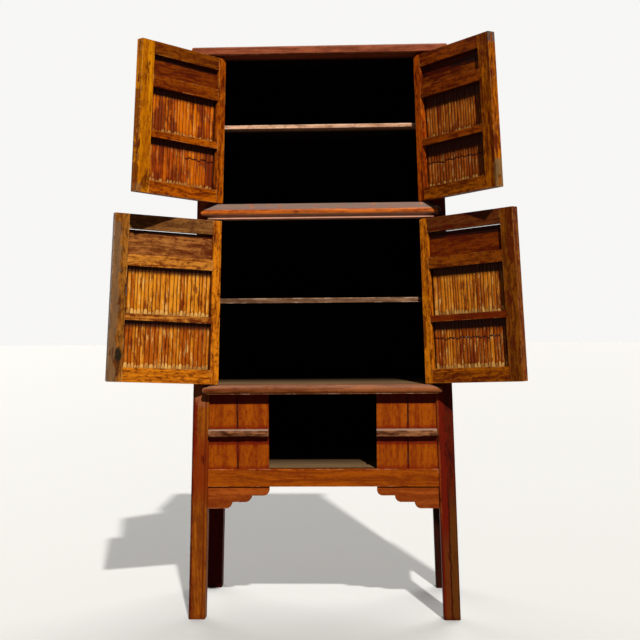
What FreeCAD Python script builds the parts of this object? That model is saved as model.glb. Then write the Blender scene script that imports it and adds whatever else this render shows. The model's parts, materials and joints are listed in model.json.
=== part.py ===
"""Tall splayed kitchen cabinet: four leaning posts, two pairs of pivot-hung bamboo doors, an open lower tier.

The frame is +Z up, +X to the right of someone facing the doors, -Y towards them, with the origin on the
floor at the middle of the posts. Millimetres. The doors are drawn closed and then swung to their rest angle.
"""
import FreeCAD
import Part

import math
import os

# Overall carcass
HEIGHT = 1850.0
FLOOR_WIDTH = 884.0
TOP_WIDTH = 772.0
DEPTH = 480.0

# Posts
POST_WIDTH = 54.0
POST_DEPTH = 52.0
POST_ROUND = 5.0
POST_TENON = 24.0
POST_TENON_LENGTH = 15.0

# Top board, a mitred frame round a floating panel
TOP_THICK = 28.0
TOP_SIDE_OVERHANG = 22.0
TOP_FRONT_OVERHANG = 40.0
TOP_BACK_OVERHANG = 6.0
TOP_FRAME_WIDTH = 88.0
TOP_NOSE = 8.0
TOP_PANEL_THICK = 10.0
TOP_PANEL_DROP = 3.0

# Clear heights of the tiers and the rails between them, from the top board down: what is left is leg
UPPER_TIER = 475.0
LEDGE_TALL = 48.0
MIDDLE_TIER = 536.0
WAIST_TALL = 28.0
LOWER_TIER = 246.0
APRON_TALL = 57.0
APRON_SETBACK = 4.0
RAIL_DEPTH = 40.0

# Section of the ledge and waist mouldings, as reach beyond their flat top
SOCKET_WALL = 5.0
LEDGE_BEVEL = 10.0
LEDGE_BEVEL_DROP = 13.0
LEDGE_NOSE = 16.0
LEDGE_FOOT = 6.0
LEDGE_BEAD = 8.0
LEDGE_BEAD_STEP = 3.0
LEDGE_HIP_BEVEL = 17.0
LEDGE_HIP_NOSE = 39.0
LEDGE_HIP_FOOT = 21.0
WAIST_BEVEL = 8.0
WAIST_BEVEL_DROP = 6.0
WAIST_NOSE = 10.0
WAIST_FOOT = 6.0
WAIST_BEAD = 3.0
WAIST_BEAD_STEP = 2.0
WAIST_HIP_BEVEL = 10.0
WAIST_HIP_NOSE = 23.0
WAIST_HIP_FOOT = 12.0

# Rails and panels of the sides and the back
SIDE_RAIL_INSET = 6.0
SIDE_RAIL_THICK = 30.0
SIDE_RAIL_TALL = 40.0
BACK_RAIL_INSET = 15.0
PANEL_THICK = 8.0
SIDE_PANEL_INSET = 16.0
BACK_PANEL_INSET = 26.0
GROOVE = 6.0
TENON_THICK = 14.0
TENON_LENGTH = 30.0
SIDE_TENON_LENGTH = 14.0
TENON_SHOULDER = 8.0

# Floors and shelves
FLOOR_THICK = 18.0
UPPER_FLOOR_DROP = 7.0
UPPER_SHELF_RISE = 268.0
UPPER_SHELF_THICK = 12.0
LOWER_SHELF_RISE = 281.0
LOWER_SHELF_THICK = 16.0
SHELF_SETBACK = 25.0
CLEAT_TALL = 20.0
CLEAT_THICK = 16.0
BOARD_CLEARANCE = 0.5

# Lower tier: fixed board panels each side of an open middle, with a batten across them
BAY_HALF_WIDTH = 175.0
TIER_SEAM = 275.0
TIER_SEAM_GAP = 1.0
TIER_PANEL_THICK = 12.0
TIER_PANEL_SETBACK = 8.0
BATTEN_RISE = 130.0
BATTEN_TALL = 25.0
BATTEN_PROUD = 16.0
BATTEN_ROUND = 5.0

# Spandrel brackets under the apron, cut in three round-nosed cloud steps
SPANDREL_THICK = 16.0
SPANDREL_SETBACK = 10.0
SPANDREL_TIP = 13.0
SPANDREL_STEP_X = (0.0, 58.0, 122.0)
SPANDREL_STEP_DROP = (17.0, 21.0, 21.0)
SPANDREL_STEP_RUN = 20.0

# Doors
DOOR_THICK = 28.0
DOOR_STANDOFF = 1.0
DOOR_FOOT_GAP = 4.0
UPPER_DOOR_HEAD_GAP = 7.0
LOWER_DOOR_HEAD_GAP = 5.0
MEETING_GAP = 2.0
PIVOT_STILE_WIDTH = 28.0
MEETING_STILE_WIDTH = 46.0
HINGE_EDGE = 12.0
POST_GAP = 2.0
UPPER_CORNER_ROUND = 9.0
UPPER_RAIL_TALL = 40.0
LOWER_RAIL_TALL = 46.0
FRIEZE_RAIL_TALL = 36.0
MID_RAIL_TALL = 21.0
UPPER_FRIEZE = 62.0
LOWER_FRIEZE = 80.0
LOWER_FRIEZE_SLIT = 2.5
DOOR_TENON_THICK = 8.0
DOOR_TENON_SHOULDER = 5.0
DOOR_BLIND_TENON = 16.0
DOOR_PANEL_THICK = 8.0
DOOR_PANEL_SETBACK = 8.5
CANE_PITCH = 11.8
CANE_OVERLAP = 0.4
CANE_FLATS = 3
CANE_SETBACK = 1.8
CANE_SEAT = 1.5

# Wooden pivots of the doors
PIVOT_RADIUS = 6.0
PIVOT_CLEARANCE = 0.3
PIVOT_DEPTH = 9.0
SOCKET_SPARE = 2.0

# How far each door stands open at rest, in degrees from closed
UPPER_LEFT_OPEN_DEG = 132.0
UPPER_RIGHT_OPEN_DEG = 130.0
LOWER_LEFT_OPEN_DEG = 155.0
LOWER_RIGHT_OPEN_DEG = 141.0

# Worked-out places
FRONT = -DEPTH / 2
BACK = DEPTH / 2
LEAN = (FLOOR_WIDTH - TOP_WIDTH) / 2 / HEIGHT
POST_TOP = HEIGHT - TOP_THICK
LEDGE_TOP = POST_TOP - UPPER_TIER
LEDGE_BOTTOM = LEDGE_TOP - LEDGE_TALL
WAIST_TOP = LEDGE_BOTTOM - MIDDLE_TIER
WAIST_BOTTOM = WAIST_TOP - WAIST_TALL
APRON_TOP = WAIST_BOTTOM - LOWER_TIER
APRON_BOTTOM = APRON_TOP - APRON_TALL
UPPER_FLOOR_TOP = LEDGE_TOP - UPPER_FLOOR_DROP
UPPER_SHELF_TOP = UPPER_FLOOR_TOP + UPPER_SHELF_RISE
LOWER_SHELF_TOP = WAIST_TOP + LOWER_SHELF_RISE
BATTEN_TOP = APRON_TOP + BATTEN_RISE
DOOR_INNER = FRONT - DOOR_STANDOFF
DOOR_OUTER = DOOR_INNER - DOOR_THICK
PIVOT_Y = (DOOR_INNER + DOOR_OUTER) / 2
PIVOT_INSET = POST_WIDTH + POST_GAP + HINGE_EDGE
STILE_INSET = PIVOT_INSET - HINGE_EDGE
SOCKET_RADIUS = PIVOT_RADIUS + PIVOT_CLEARANCE
RAIL_BACK = FRONT + RAIL_DEPTH
SIDE_RAIL_TOPS = (APRON_TOP - FLOOR_THICK, WAIST_TOP - FLOOR_THICK, UPPER_FLOOR_TOP - FLOOR_THICK, POST_TOP)
BACK_PANEL_FACE = BACK - BACK_PANEL_INSET - PANEL_THICK
SIDES = {"left": -1, "right": 1}
OPEN_ANGLE = {"upper_left": UPPER_LEFT_OPEN_DEG, "upper_right": UPPER_RIGHT_OPEN_DEG,
              "lower_left": LOWER_LEFT_OPEN_DEG, "lower_right": LOWER_RIGHT_OPEN_DEG}


def half_width(z):
    """Half the distance between the posts' outer faces at height z."""
    return FLOOR_WIDTH / 2 - LEAN * z


def prism(corners, y0, y1):
    """Closed outline of (x, z) corners drawn out from y0 to y1."""
    points = [FreeCAD.Vector(x, y0, z) for x, z in corners]
    face = Part.Face(Part.makePolygon(points + points[:1]))
    return face.extrude(FreeCAD.Vector(0, y1 - y0, 0))


def lean_slab(side, z0, z1, inset0, inset1, y0, y1):
    """Piece that follows a leaning side, between two insets from the posts' outer face."""
    corners = [(half_width(z0) - inset0, z0), (half_width(z0) - inset1, z0),
               (half_width(z1) - inset1, z1), (half_width(z1) - inset0, z1)]
    return prism([(side * x, z) for x, z in corners], y0, y1)


def span_slab(z0, z1, inset, y0, y1):
    """Piece that runs from side to side, its ends leaning with the posts."""
    low = half_width(z0) - inset
    high = half_width(z1) - inset
    return prism([(-low, z0), (low, z0), (high, z1), (-high, z1)], y0, y1)


def cut_all(shape, tools):
    """The shape with every tool taken out of it."""
    return shape.cut(list(tools)).removeSplitter() if tools else shape


def joined(first, *others):
    """The pieces of wood that were cut from one blank, as one solid."""
    return first.fuse(list(others)).removeSplitter().Solids[0]


def pivot_point(side, z):
    """Point of a door's pivot axis at height z."""
    return FreeCAD.Vector(side * (half_width(z) - PIVOT_INSET), PIVOT_Y, z)


def pivot_rod(side, z0, z1, radius):
    """Round rod along a door's leaning pivot axis."""
    low = pivot_point(side, z0)
    high = pivot_point(side, z1)
    return Part.makeCylinder(radius, (high - low).Length, low, high - low)


# Sections of the moulded front rails

def nosed_section(flat, z_top, z_bottom, bevel, drop, nose, foot, bead, step):
    """Edges as (reach, height) from the flat top round the bevel and nose to the bead at the bottom."""
    z_nose = (z_top - drop + z_bottom + bead) / 2
    shoulder = (flat + bevel, z_top - drop)
    heel = (flat + foot, z_bottom + bead)
    return {"top": (flat, z_top), "shoulder": shoulder, "nose": (flat + nose, z_nose), "heel": heel,
            "bead": (flat + foot - step, z_bottom + bead), "bottom": (flat + foot - step, z_bottom)}


def section_edges(section, place):
    """The section's edges in space, where place turns (reach, height) into a point."""
    at = {name: place(*point) for name, point in section.items()}
    return [Part.LineSegment(at["top"], at["shoulder"]).toShape(),
            Part.Arc(at["shoulder"], at["nose"], at["heel"]).toShape(),
            Part.LineSegment(at["heel"], at["bead"]).toShape(),
            Part.LineSegment(at["bead"], at["bottom"]).toShape()]


def closed_face(edges):
    """Face inside a run of edges, closed by straight lines."""
    wire = Part.Wire(Part.__sortEdges__(edges))
    return Part.Face(wire)


def moulding(front, ends):
    """Hipped moulding proud of the posts: the front section along X, trimmed by the end outline along Y."""
    reach = FLOOR_WIDTH / 2
    flat_top, bottom = front["top"], front["bottom"]

    def on_front(out, z):
        return FreeCAD.Vector(-reach, FRONT - out, z)

    edges = section_edges(front, on_front)
    edges.append(Part.LineSegment(on_front(*bottom), on_front(0, bottom[1])).toShape())
    edges.append(Part.LineSegment(on_front(0, bottom[1]), on_front(0, flat_top[1])).toShape())
    edges.append(Part.LineSegment(on_front(0, flat_top[1]), on_front(*flat_top)).toShape())
    length = closed_face(edges).extrude(FreeCAD.Vector(2 * reach, 0, 0))
    far = FRONT - 2 * front["nose"][0]

    def on_right(out, z):
        return FreeCAD.Vector(out, far, z)

    def on_left(out, z):
        return FreeCAD.Vector(-out, far, z)

    outline = section_edges(ends, on_right) + section_edges(ends, on_left)
    for level in ("top", "bottom"):
        outline.append(Part.LineSegment(on_left(*ends[level]), on_right(*ends[level])).toShape())
    hips = closed_face(outline).extrude(FreeCAD.Vector(0, FRONT - far, 0))
    return length.common(hips)


def front_tenons(z0, z1):
    """Tenons of a front rail that runs between the posts."""
    middle = FRONT + RAIL_DEPTH / 2 + APRON_SETBACK
    low, high = z0 + TENON_SHOULDER, z1 - TENON_SHOULDER
    inner = POST_WIDTH - TENON_LENGTH
    y0 = middle - TENON_THICK / 2
    return [lean_slab(side, low, high, inner, POST_WIDTH, y0, y0 + TENON_THICK) for side in SIDES.values()]


def sockets(z_face, upwards):
    """Pivot sockets of a door pair, bored into a rail's face."""
    deep = PIVOT_DEPTH + SOCKET_SPARE
    span = (z_face - PIVOT_DEPTH, z_face + deep) if upwards else (z_face - deep, z_face + PIVOT_DEPTH)
    return [pivot_rod(side, *span, SOCKET_RADIUS) for side in SIDES.values()]


def moulded_rail(z_top, z_bottom, bevel, drop, nose, foot, bead, step, hip_bevel, hip_nose, hip_foot):
    """Front rail between the posts with a hipped moulding proud of them, before its sockets are bored."""
    front_flat = FRONT - PIVOT_Y + SOCKET_RADIUS + SOCKET_WALL
    end_flat = half_width(z_top) - PIVOT_INSET + SOCKET_RADIUS + SOCKET_WALL
    front = nosed_section(front_flat, z_top, z_bottom, bevel, drop, nose, foot, bead, step)
    ends = nosed_section(end_flat, z_top, z_bottom, hip_bevel, drop, hip_nose, hip_foot, bead, step)
    bar = span_slab(z_bottom, z_top, POST_WIDTH, FRONT, RAIL_BACK)
    return joined(bar, moulding(front, ends), *front_tenons(z_bottom, z_top))


# Carcass

def post(side, front):
    """Leaning post with rounded arrises and a tenon for the top board."""
    y0 = FRONT if front else BACK - POST_DEPTH
    body = lean_slab(side, 0, POST_TOP, 0, POST_WIDTH, y0, y0 + POST_DEPTH)
    body = body.makeFillet(POST_ROUND, [edge for edge in body.Edges if edge.Length > POST_TOP / 2])
    inset = (POST_WIDTH - POST_TENON) / 2
    shoulder = y0 + (POST_DEPTH - POST_TENON) / 2
    tenon = lean_slab(side, POST_TOP, POST_TOP + POST_TENON_LENGTH, inset, inset + POST_TENON,
                      shoulder, shoulder + POST_TENON)
    return joined(body, tenon)


def side_rails(side):
    """Rails from the front post to the rear post, with short tenons."""
    inner = POST_DEPTH
    rails = []
    for top in SIDE_RAIL_TOPS:
        bottom = top - SIDE_RAIL_TALL
        bar = lean_slab(side, bottom, top, SIDE_RAIL_INSET, SIDE_RAIL_INSET + SIDE_RAIL_THICK,
                        FRONT + inner, BACK - inner)
        edge = SIDE_RAIL_INSET + (SIDE_RAIL_THICK - TENON_THICK) / 2
        tenon = lean_slab(side, bottom + TENON_SHOULDER, top - TENON_SHOULDER, edge, edge + TENON_THICK,
                          FRONT + inner - SIDE_TENON_LENGTH, BACK - inner + SIDE_TENON_LENGTH)
        rails.append(joined(bar, tenon))
    return rails


def back_rails():
    """Rails between the rear posts, with tenons."""
    y1 = BACK - BACK_RAIL_INSET
    y0 = y1 - SIDE_RAIL_THICK
    shoulder = (SIDE_RAIL_THICK - TENON_THICK) / 2
    rails = []
    for top in SIDE_RAIL_TOPS:
        bottom = top - SIDE_RAIL_TALL
        bar = span_slab(bottom, top, POST_WIDTH, y0, y1)
        tenon = span_slab(bottom + TENON_SHOULDER, top - TENON_SHOULDER, POST_WIDTH - TENON_LENGTH,
                          y0 + shoulder, y1 - shoulder)
        rails.append(joined(bar, tenon))
    return rails


def panel_levels():
    """Bottom and top of each panel between two rails, grooves included."""
    pairs = zip(SIDE_RAIL_TOPS, SIDE_RAIL_TOPS[1:])
    return [(low - GROOVE, high - SIDE_RAIL_TALL + GROOVE) for low, high in pairs]


def side_panels(side):
    """Board panels of one side, held in grooves."""
    y0 = FRONT + POST_DEPTH - GROOVE
    inset = SIDE_PANEL_INSET
    return [lean_slab(side, low, high, inset, inset + PANEL_THICK, y0, -y0) for low, high in panel_levels()]


def back_panels():
    """Board panels of the back, held in grooves."""
    y0 = BACK_PANEL_FACE
    return [span_slab(low, high, POST_WIDTH - GROOVE, y0, y0 + PANEL_THICK) for low, high in panel_levels()]


def inner_board(top, thick, y_front):
    """Floor or shelf that fills the inside, notched round the posts."""
    inset = SIDE_PANEL_INSET + PANEL_THICK + BOARD_CLEARANCE
    board = span_slab(top - thick, top, inset, y_front, BACK_PANEL_FACE - BOARD_CLEARANCE)
    notches = []
    for side in SIDES.values():
        for y0 in (FRONT, BACK - POST_DEPTH):
            notches.append(lean_slab(side, 0, POST_TOP, -BOARD_CLEARANCE, POST_WIDTH + BOARD_CLEARANCE,
                                     y0 - BOARD_CLEARANCE, y0 + POST_DEPTH + BOARD_CLEARANCE))
    return cut_all(board, notches)


def cleats():
    """Bearers on the side panels, under the ends of both shelves."""
    inset = SIDE_PANEL_INSET + PANEL_THICK
    y0 = FRONT + POST_DEPTH
    bars = []
    for top in (UPPER_SHELF_TOP - UPPER_SHELF_THICK, LOWER_SHELF_TOP - LOWER_SHELF_THICK):
        for side in SIDES.values():
            bars.append(lean_slab(side, top - CLEAT_TALL, top, inset, inset + CLEAT_THICK, y0, -y0))
    return bars


def top_board():
    """Mitred top frame with a nosed edge, and the panel floating in it."""
    x1 = half_width(HEIGHT) + TOP_SIDE_OVERHANG
    y0, y1 = FRONT - TOP_FRONT_OVERHANG, BACK + TOP_BACK_OVERHANG
    z0, z1 = POST_TOP, HEIGHT
    block = Part.makeBox(2 * x1, y1 - y0, z1 - z0, FreeCAD.Vector(-x1, y0, z0))
    rim = [edge for edge in block.Edges if abs(edge.CenterOfMass.z - z1) < 1e-6]
    block = block.makeFillet(TOP_NOSE, rim)
    foot = [edge for edge in block.Edges if abs(edge.BoundBox.ZMax - z0) < 1e-6]
    block = block.makeChamfer(TOP_NOSE / 2, foot)
    in_x, in_y0, in_y1 = x1 - TOP_FRAME_WIDTH, y0 + TOP_FRAME_WIDTH, y1 - TOP_FRAME_WIDTH
    outer = {"front": [(-x1, y0), (x1, y0)], "rear": [(x1, y1), (-x1, y1)],
             "left": [(-x1, y1), (-x1, y0)], "right": [(x1, y0), (x1, y1)]}
    inner = {"front": [(in_x, in_y0), (-in_x, in_y0)], "rear": [(-in_x, in_y1), (in_x, in_y1)],
             "left": [(-in_x, in_y0), (-in_x, in_y1)], "right": [(in_x, in_y1), (in_x, in_y0)]}
    panel = Part.makeBox(2 * (in_x + GROOVE), in_y1 - in_y0 + 2 * GROOVE, TOP_PANEL_THICK,
                         FreeCAD.Vector(-in_x - GROOVE, in_y0 - GROOVE, z1 - TOP_PANEL_DROP - TOP_PANEL_THICK))
    members = {}
    for name in outer:
        points = [FreeCAD.Vector(x, y, z0) for x, y in outer[name] + inner[name]]
        wedge = Part.Face(Part.makePolygon(points + points[:1])).extrude(FreeCAD.Vector(0, 0, z1 - z0))
        members[name] = block.common(wedge).cut(panel)
    return members, panel


def tier_panels(side):
    """The two boards of a fixed panel in the lower tier, held in grooves of the rails and the post."""
    y0 = FRONT + TIER_PANEL_SETBACK
    y1 = y0 + TIER_PANEL_THICK
    low, high = APRON_TOP - GROOVE, WAIST_BOTTOM + GROOVE
    inset = POST_WIDTH - GROOVE
    seam = TIER_SEAM + TIER_SEAM_GAP
    outer = [(seam, low), (half_width(low) - inset, low), (half_width(high) - inset, high), (seam, high)]
    inner = [(BAY_HALF_WIDTH, low), (TIER_SEAM, low), (TIER_SEAM, high), (BAY_HALF_WIDTH, high)]
    return [prism([(side * x, z) for x, z in board], y0, y1) for board in (outer, inner)]


def batten(side):
    """Horizontal bar across the face of a lower panel, with rounded front arrises."""
    y1 = FRONT + TIER_PANEL_SETBACK
    low, high = BATTEN_TOP - BATTEN_TALL, BATTEN_TOP
    corners = [(BAY_HALF_WIDTH, low), (half_width(low) - POST_WIDTH, low),
               (half_width(high) - POST_WIDTH, high), (BAY_HALF_WIDTH, high)]
    bar = prism([(side * x, z) for x, z in corners], y1 - BATTEN_PROUD, y1)
    nose = [edge for edge in bar.Edges
            if edge.BoundBox.YMax < y1 - BATTEN_PROUD + 1e-6 and edge.BoundBox.ZLength < 1e-6]
    return bar.makeFillet(BATTEN_ROUND, nose)


def spandrel(side):
    """Bracket under the apron, its lower edge cut in round-nosed steps that deepen towards the post."""
    y0 = FRONT + SPANDREL_SETBACK
    top = APRON_BOTTOM + GROOVE
    inset = POST_WIDTH - GROOVE

    def at(x, z):
        return FreeCAD.Vector(side * x, y0, z)

    z = APRON_BOTTOM - SPANDREL_TIP
    here = at(BAY_HALF_WIDTH, z)
    edges = [Part.LineSegment(at(BAY_HALF_WIDTH, top), here).toShape()]
    for step, drop in zip(SPANDREL_STEP_X, SPANDREL_STEP_DROP):
        x = BAY_HALF_WIDTH + step
        if step:
            edges.append(Part.LineSegment(here, at(x, z)).toShape())
        here = at(x + SPANDREL_STEP_RUN, z - drop)
        crest = at(x + SPANDREL_STEP_RUN * (1 - math.sqrt(0.5)), z - drop * math.sqrt(0.5))
        edges.append(Part.Arc(at(x, z), crest, here).toShape())
        z -= drop
    corners = [here, at(half_width(z) - inset, z), at(half_width(top) - inset, top), at(BAY_HALF_WIDTH, top)]
    edges += [Part.LineSegment(start, end).toShape() for start, end in zip(corners, corners[1:])]
    return closed_face(edges).extrude(FreeCAD.Vector(0, SPANDREL_THICK, 0))


# Doors

def cane_row(x0, x1, z0, z1):
    """Row of canes side by side, each with a few flats on either face, drawn out upwards."""
    count = max(1, round((x1 - x0) / CANE_PITCH))
    pitch = (x1 - x0) / count
    radius = pitch / 2 + CANE_OVERLAP / 2
    waist = math.sqrt(radius ** 2 - (pitch / 2) ** 2)
    y = DOOR_OUTER + CANE_SETBACK + radius
    rim = []
    for i in range(count):
        for flat in range(CANE_FLATS):
            turn = math.pi * flat / CANE_FLATS
            rim.append((x0 + (i + 0.5 - math.cos(turn) / 2) * pitch, waist + math.sin(turn) * (radius - waist)))
    rim.append((x1, waist))
    outer = [FreeCAD.Vector(x, y - out, z0) for x, out in rim]
    inner = [FreeCAD.Vector(x, y + out, z0) for x, out in reversed(rim)]
    section = Part.Face(Part.makePolygon(outer + inner + outer[:1]))
    return section.extrude(FreeCAD.Vector(0, 0, z1 - z0))


def cane_groove(x0, x1, z0, z1):
    """Straight slot that the ends of a row of canes stand in."""
    y0 = DOOR_OUTER + CANE_SETBACK
    thick = CANE_PITCH + 2 * CANE_OVERLAP
    return Part.makeBox(x1 - x0, thick, z1 - z0, FreeCAD.Vector(x0, y0, z0))


def door_rail(side, z0, z1):
    """Rail of a door, with a tenon right through the meeting stile and a blind one in the pivot stile."""
    middle = PIVOT_Y
    near = MEETING_GAP / 2
    inner = near + MEETING_STILE_WIDTH
    inset = STILE_INSET + PIVOT_STILE_WIDTH
    low, high = z0 + DOOR_TENON_SHOULDER, z1 - DOOR_TENON_SHOULDER
    blind = inset - DOOR_BLIND_TENON
    body = [(inner, z0), (half_width(z0) - inset, z0), (half_width(z1) - inset, z1), (inner, z1)]
    tenon = [(near, low), (half_width(low) - blind, low), (half_width(high) - blind, high), (near, high)]
    y0 = middle - DOOR_TENON_THICK / 2
    bar = prism([(side * x, z) for x, z in body], DOOR_OUTER, DOOR_INNER)
    tongue = prism([(side * x, z) for x, z in tenon], y0, y0 + DOOR_TENON_THICK)
    return joined(bar, tongue)


def door(side, z0, z1, rail_tall, frieze, slit, corner_round):
    """All pieces of one door in its closed place, by name."""
    inset = STILE_INSET + PIVOT_STILE_WIDTH
    near = MEETING_GAP / 2
    inner = near + MEETING_STILE_WIDTH
    rails = {"top_rail": (z1 - rail_tall, z1)}
    frieze_top = z1 - rail_tall - frieze
    rails["frieze_rail"] = (frieze_top - FRIEZE_RAIL_TALL, frieze_top)
    bay = (frieze_top - FRIEZE_RAIL_TALL - z0 - rail_tall - MID_RAIL_TALL) / 2
    rails["mid_rail"] = (z0 + rail_tall + bay, z0 + rail_tall + bay + MID_RAIL_TALL)
    rails["bottom_rail"] = (z0, z0 + rail_tall)
    bars = {name: door_rail(side, *span) for name, span in rails.items()}

    low = frieze_top - GROOVE
    high = z1 - rail_tall + (GROOVE if slit == 0 else -slit)
    seat = inset - GROOVE
    corners = [(inner - GROOVE, low), (half_width(low) - seat, low),
               (half_width(high) - seat, high), (inner - GROOVE, high)]
    y0 = DOOR_OUTER + DOOR_PANEL_SETBACK
    panel = prism([(side * x, z) for x, z in corners], y0, y0 + DOOR_PANEL_THICK)

    canes, slots = [], []
    for below, above in (("bottom_rail", "mid_rail"), ("mid_rail", "frieze_rail")):
        foot, head = rails[below][1] - CANE_SEAT, rails[above][0] + CANE_SEAT
        ends = sorted((side * (inner - CANE_SEAT), side * (half_width(foot) - inset + CANE_SEAT)))
        canes.append(cane_row(*ends, foot, head))
        slots.append(cane_groove(*ends, foot, head))

    pivot_stile = lean_slab(side, z0, z1, STILE_INSET, inset, DOOR_OUTER, DOOR_INNER)
    if corner_round:
        edge = min(pivot_stile.Edges,
                   key=lambda e: (e.BoundBox.YLength < DOOR_THICK / 2, -e.CenterOfMass.z * 10
                                  - abs(e.CenterOfMass.x)))
        pivot_stile = pivot_stile.makeFillet(corner_round, [edge])
    z_low, z_high = pivot_span(z0, z1)
    pivot_stile = joined(pivot_stile, pivot_rod(side, z_low, z_high, PIVOT_RADIUS))
    meeting_stile = prism([(side * near, z0), (side * inner, z0), (side * inner, z1), (side * near, z1)],
                          DOOR_OUTER, DOOR_INNER)
    fitted = list(bars.values()) + [panel] + slots
    bars = {name: cut_all(bar, [panel] + slots) for name, bar in bars.items()}
    return {"pivot_stile": [cut_all(pivot_stile, fitted)], "meeting_stile": [cut_all(meeting_stile, fitted)],
            "top_rail": [bars["top_rail"]], "bottom_rail": [bars["bottom_rail"]],
            "cross_rails": [bars["frieze_rail"], bars["mid_rail"]], "frieze_panel": [panel],
            "bamboo": canes}


def pivot_span(z0, z1):
    """Lowest and highest point of a door's pivots, which reach into the rails below and above it."""
    head = POST_TOP if z1 > LEDGE_TOP else LEDGE_BOTTOM
    foot = LEDGE_TOP if z1 > LEDGE_TOP else WAIST_TOP
    return foot - PIVOT_DEPTH, head + PIVOT_DEPTH


def swung(shape, side, angle):
    """The shape turned open about its door's leaning pivot axis."""
    low = pivot_point(side, 0)
    axis = pivot_point(side, HEIGHT) - low
    turned = shape.copy()
    turned.rotate(low, axis, side * angle)
    return turned


def door_nodes():
    """Every door's pieces, swung to rest, by node name."""
    tiers = {"upper": (LEDGE_TOP + DOOR_FOOT_GAP, POST_TOP - UPPER_DOOR_HEAD_GAP,
                       UPPER_RAIL_TALL, UPPER_FRIEZE, 0.0, UPPER_CORNER_ROUND),
             "lower": (WAIST_TOP + DOOR_FOOT_GAP, LEDGE_BOTTOM - LOWER_DOOR_HEAD_GAP,
                       LOWER_RAIL_TALL, LOWER_FRIEZE, LOWER_FRIEZE_SLIT, 0.0)}
    nodes = {}
    for tier, sizes in tiers.items():
        for hand, side in SIDES.items():
            angle = OPEN_ANGLE[f"{tier}_{hand}"]
            for piece, shapes in door(side, *sizes).items():
                nodes[f"{tier}_{hand}_{piece}"] = [swung(shape, side, angle) for shape in shapes]
    return nodes


def carcass_nodes():
    """The fixed pieces by node name, each with the mortises and grooves that its neighbours need."""
    ledge = moulded_rail(LEDGE_TOP, LEDGE_BOTTOM, LEDGE_BEVEL, LEDGE_BEVEL_DROP, LEDGE_NOSE, LEDGE_FOOT,
                         LEDGE_BEAD, LEDGE_BEAD_STEP, LEDGE_HIP_BEVEL, LEDGE_HIP_NOSE, LEDGE_HIP_FOOT)
    waist = moulded_rail(WAIST_TOP, WAIST_BOTTOM, WAIST_BEVEL, WAIST_BEVEL_DROP, WAIST_NOSE, WAIST_FOOT,
                         WAIST_BEAD, WAIST_BEAD_STEP, WAIST_HIP_BEVEL, WAIST_HIP_NOSE, WAIST_HIP_FOOT)
    apron_bar = span_slab(APRON_BOTTOM, APRON_TOP, POST_WIDTH, FRONT + APRON_SETBACK, RAIL_BACK)
    apron = joined(apron_bar, *front_tenons(APRON_BOTTOM, APRON_TOP))
    boards = {hand: tier_panels(side) for hand, side in SIDES.items()}
    brackets = {hand: spandrel(side) for hand, side in SIDES.items()}
    tier_boards = boards["left"] + boards["right"]
    posts = {(hand, end): post(side, end == "front")
             for hand, side in SIDES.items() for end in ("front", "rear")}
    members, top_panel = top_board()

    nodes = {"mid_ledge": [cut_all(ledge, sockets(LEDGE_TOP, False) + sockets(LEDGE_BOTTOM, True))],
             "waist_rail": [cut_all(waist, sockets(WAIST_TOP, False) + tier_boards)],
             "apron_rail": [cut_all(apron, tier_boards + list(brackets.values()))],
             "back_rails": [cut_all(rail, back_panels()) for rail in back_rails()],
             "back_panels": back_panels(), "top_panel": [top_panel], "shelf_cleats": cleats()}
    for name, member in members.items():
        holes = list(posts.values()) + (sockets(POST_TOP, True) if name == "front" else [])
        nodes[f"top_{name}"] = [cut_all(member, holes)]
    for hand, side in SIDES.items():
        nodes[f"side_rails_{hand}"] = [cut_all(rail, side_panels(side)) for rail in side_rails(side)]
        nodes[f"side_panels_{hand}"] = side_panels(side)
        nodes[f"tier_panel_{hand}"] = boards[hand]
        nodes[f"batten_{hand}"] = [batten(side)]
        nodes[f"spandrel_{hand}"] = [brackets[hand]]
        fitted = {"front": [ledge, waist, apron, brackets[hand]] + boards[hand],
                  "rear": back_rails() + back_panels()}
        for end in ("front", "rear"):
            entering = fitted[end] + side_rails(side) + side_panels(side)
            nodes[f"post_{end}_{hand}"] = [cut_all(posts[hand, end], entering)]
    floors = {"upper_floor": UPPER_FLOOR_TOP, "middle_floor": WAIST_TOP, "lower_floor": APRON_TOP}
    for name, top in floors.items():
        nodes[name] = [inner_board(top, FLOOR_THICK, RAIL_BACK)]
    for name, top, thick in (("upper_shelf", UPPER_SHELF_TOP, UPPER_SHELF_THICK),
                             ("lower_shelf", LOWER_SHELF_TOP, LOWER_SHELF_THICK)):
        nodes[name] = [inner_board(top, thick, FRONT + SHELF_SETBACK)]
    return nodes


def main():
    """Build every node and write one STEP file each."""
    os.makedirs("parts", exist_ok=True)
    nodes = {**carcass_nodes(), **door_nodes()}
    for name, shapes in nodes.items():
        solids = [solid for shape in shapes for solid in shape.Solids]
        bad = [solid for solid in solids if not solid.isValid()]
        litres = sum(solid.Volume for solid in solids) / 1e6
        print(name, len(solids), "solids", round(litres, 3), "litres", "bad" if bad else "")
        whole = solids[0] if len(solids) == 1 else Part.makeCompound(solids)
        whole.exportStep(f"parts/{name}.step")


main()
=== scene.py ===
"""Dresses a tall splayed kitchen cabinet: worn lacquer, amber doors, bamboo canes, dust, soot and painted
shade.

Every object is in metres in the cabinet's own frame: +Z is up, -Y is towards someone who faces the doors,
and +X is to their right.
"""

import json
import logging
import math
import random
from dataclasses import dataclass, field, replace
from enum import Enum
from functools import reduce
from typing import Union

import bpy
from mathutils import Euler, Matrix, Vector, noise


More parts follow.
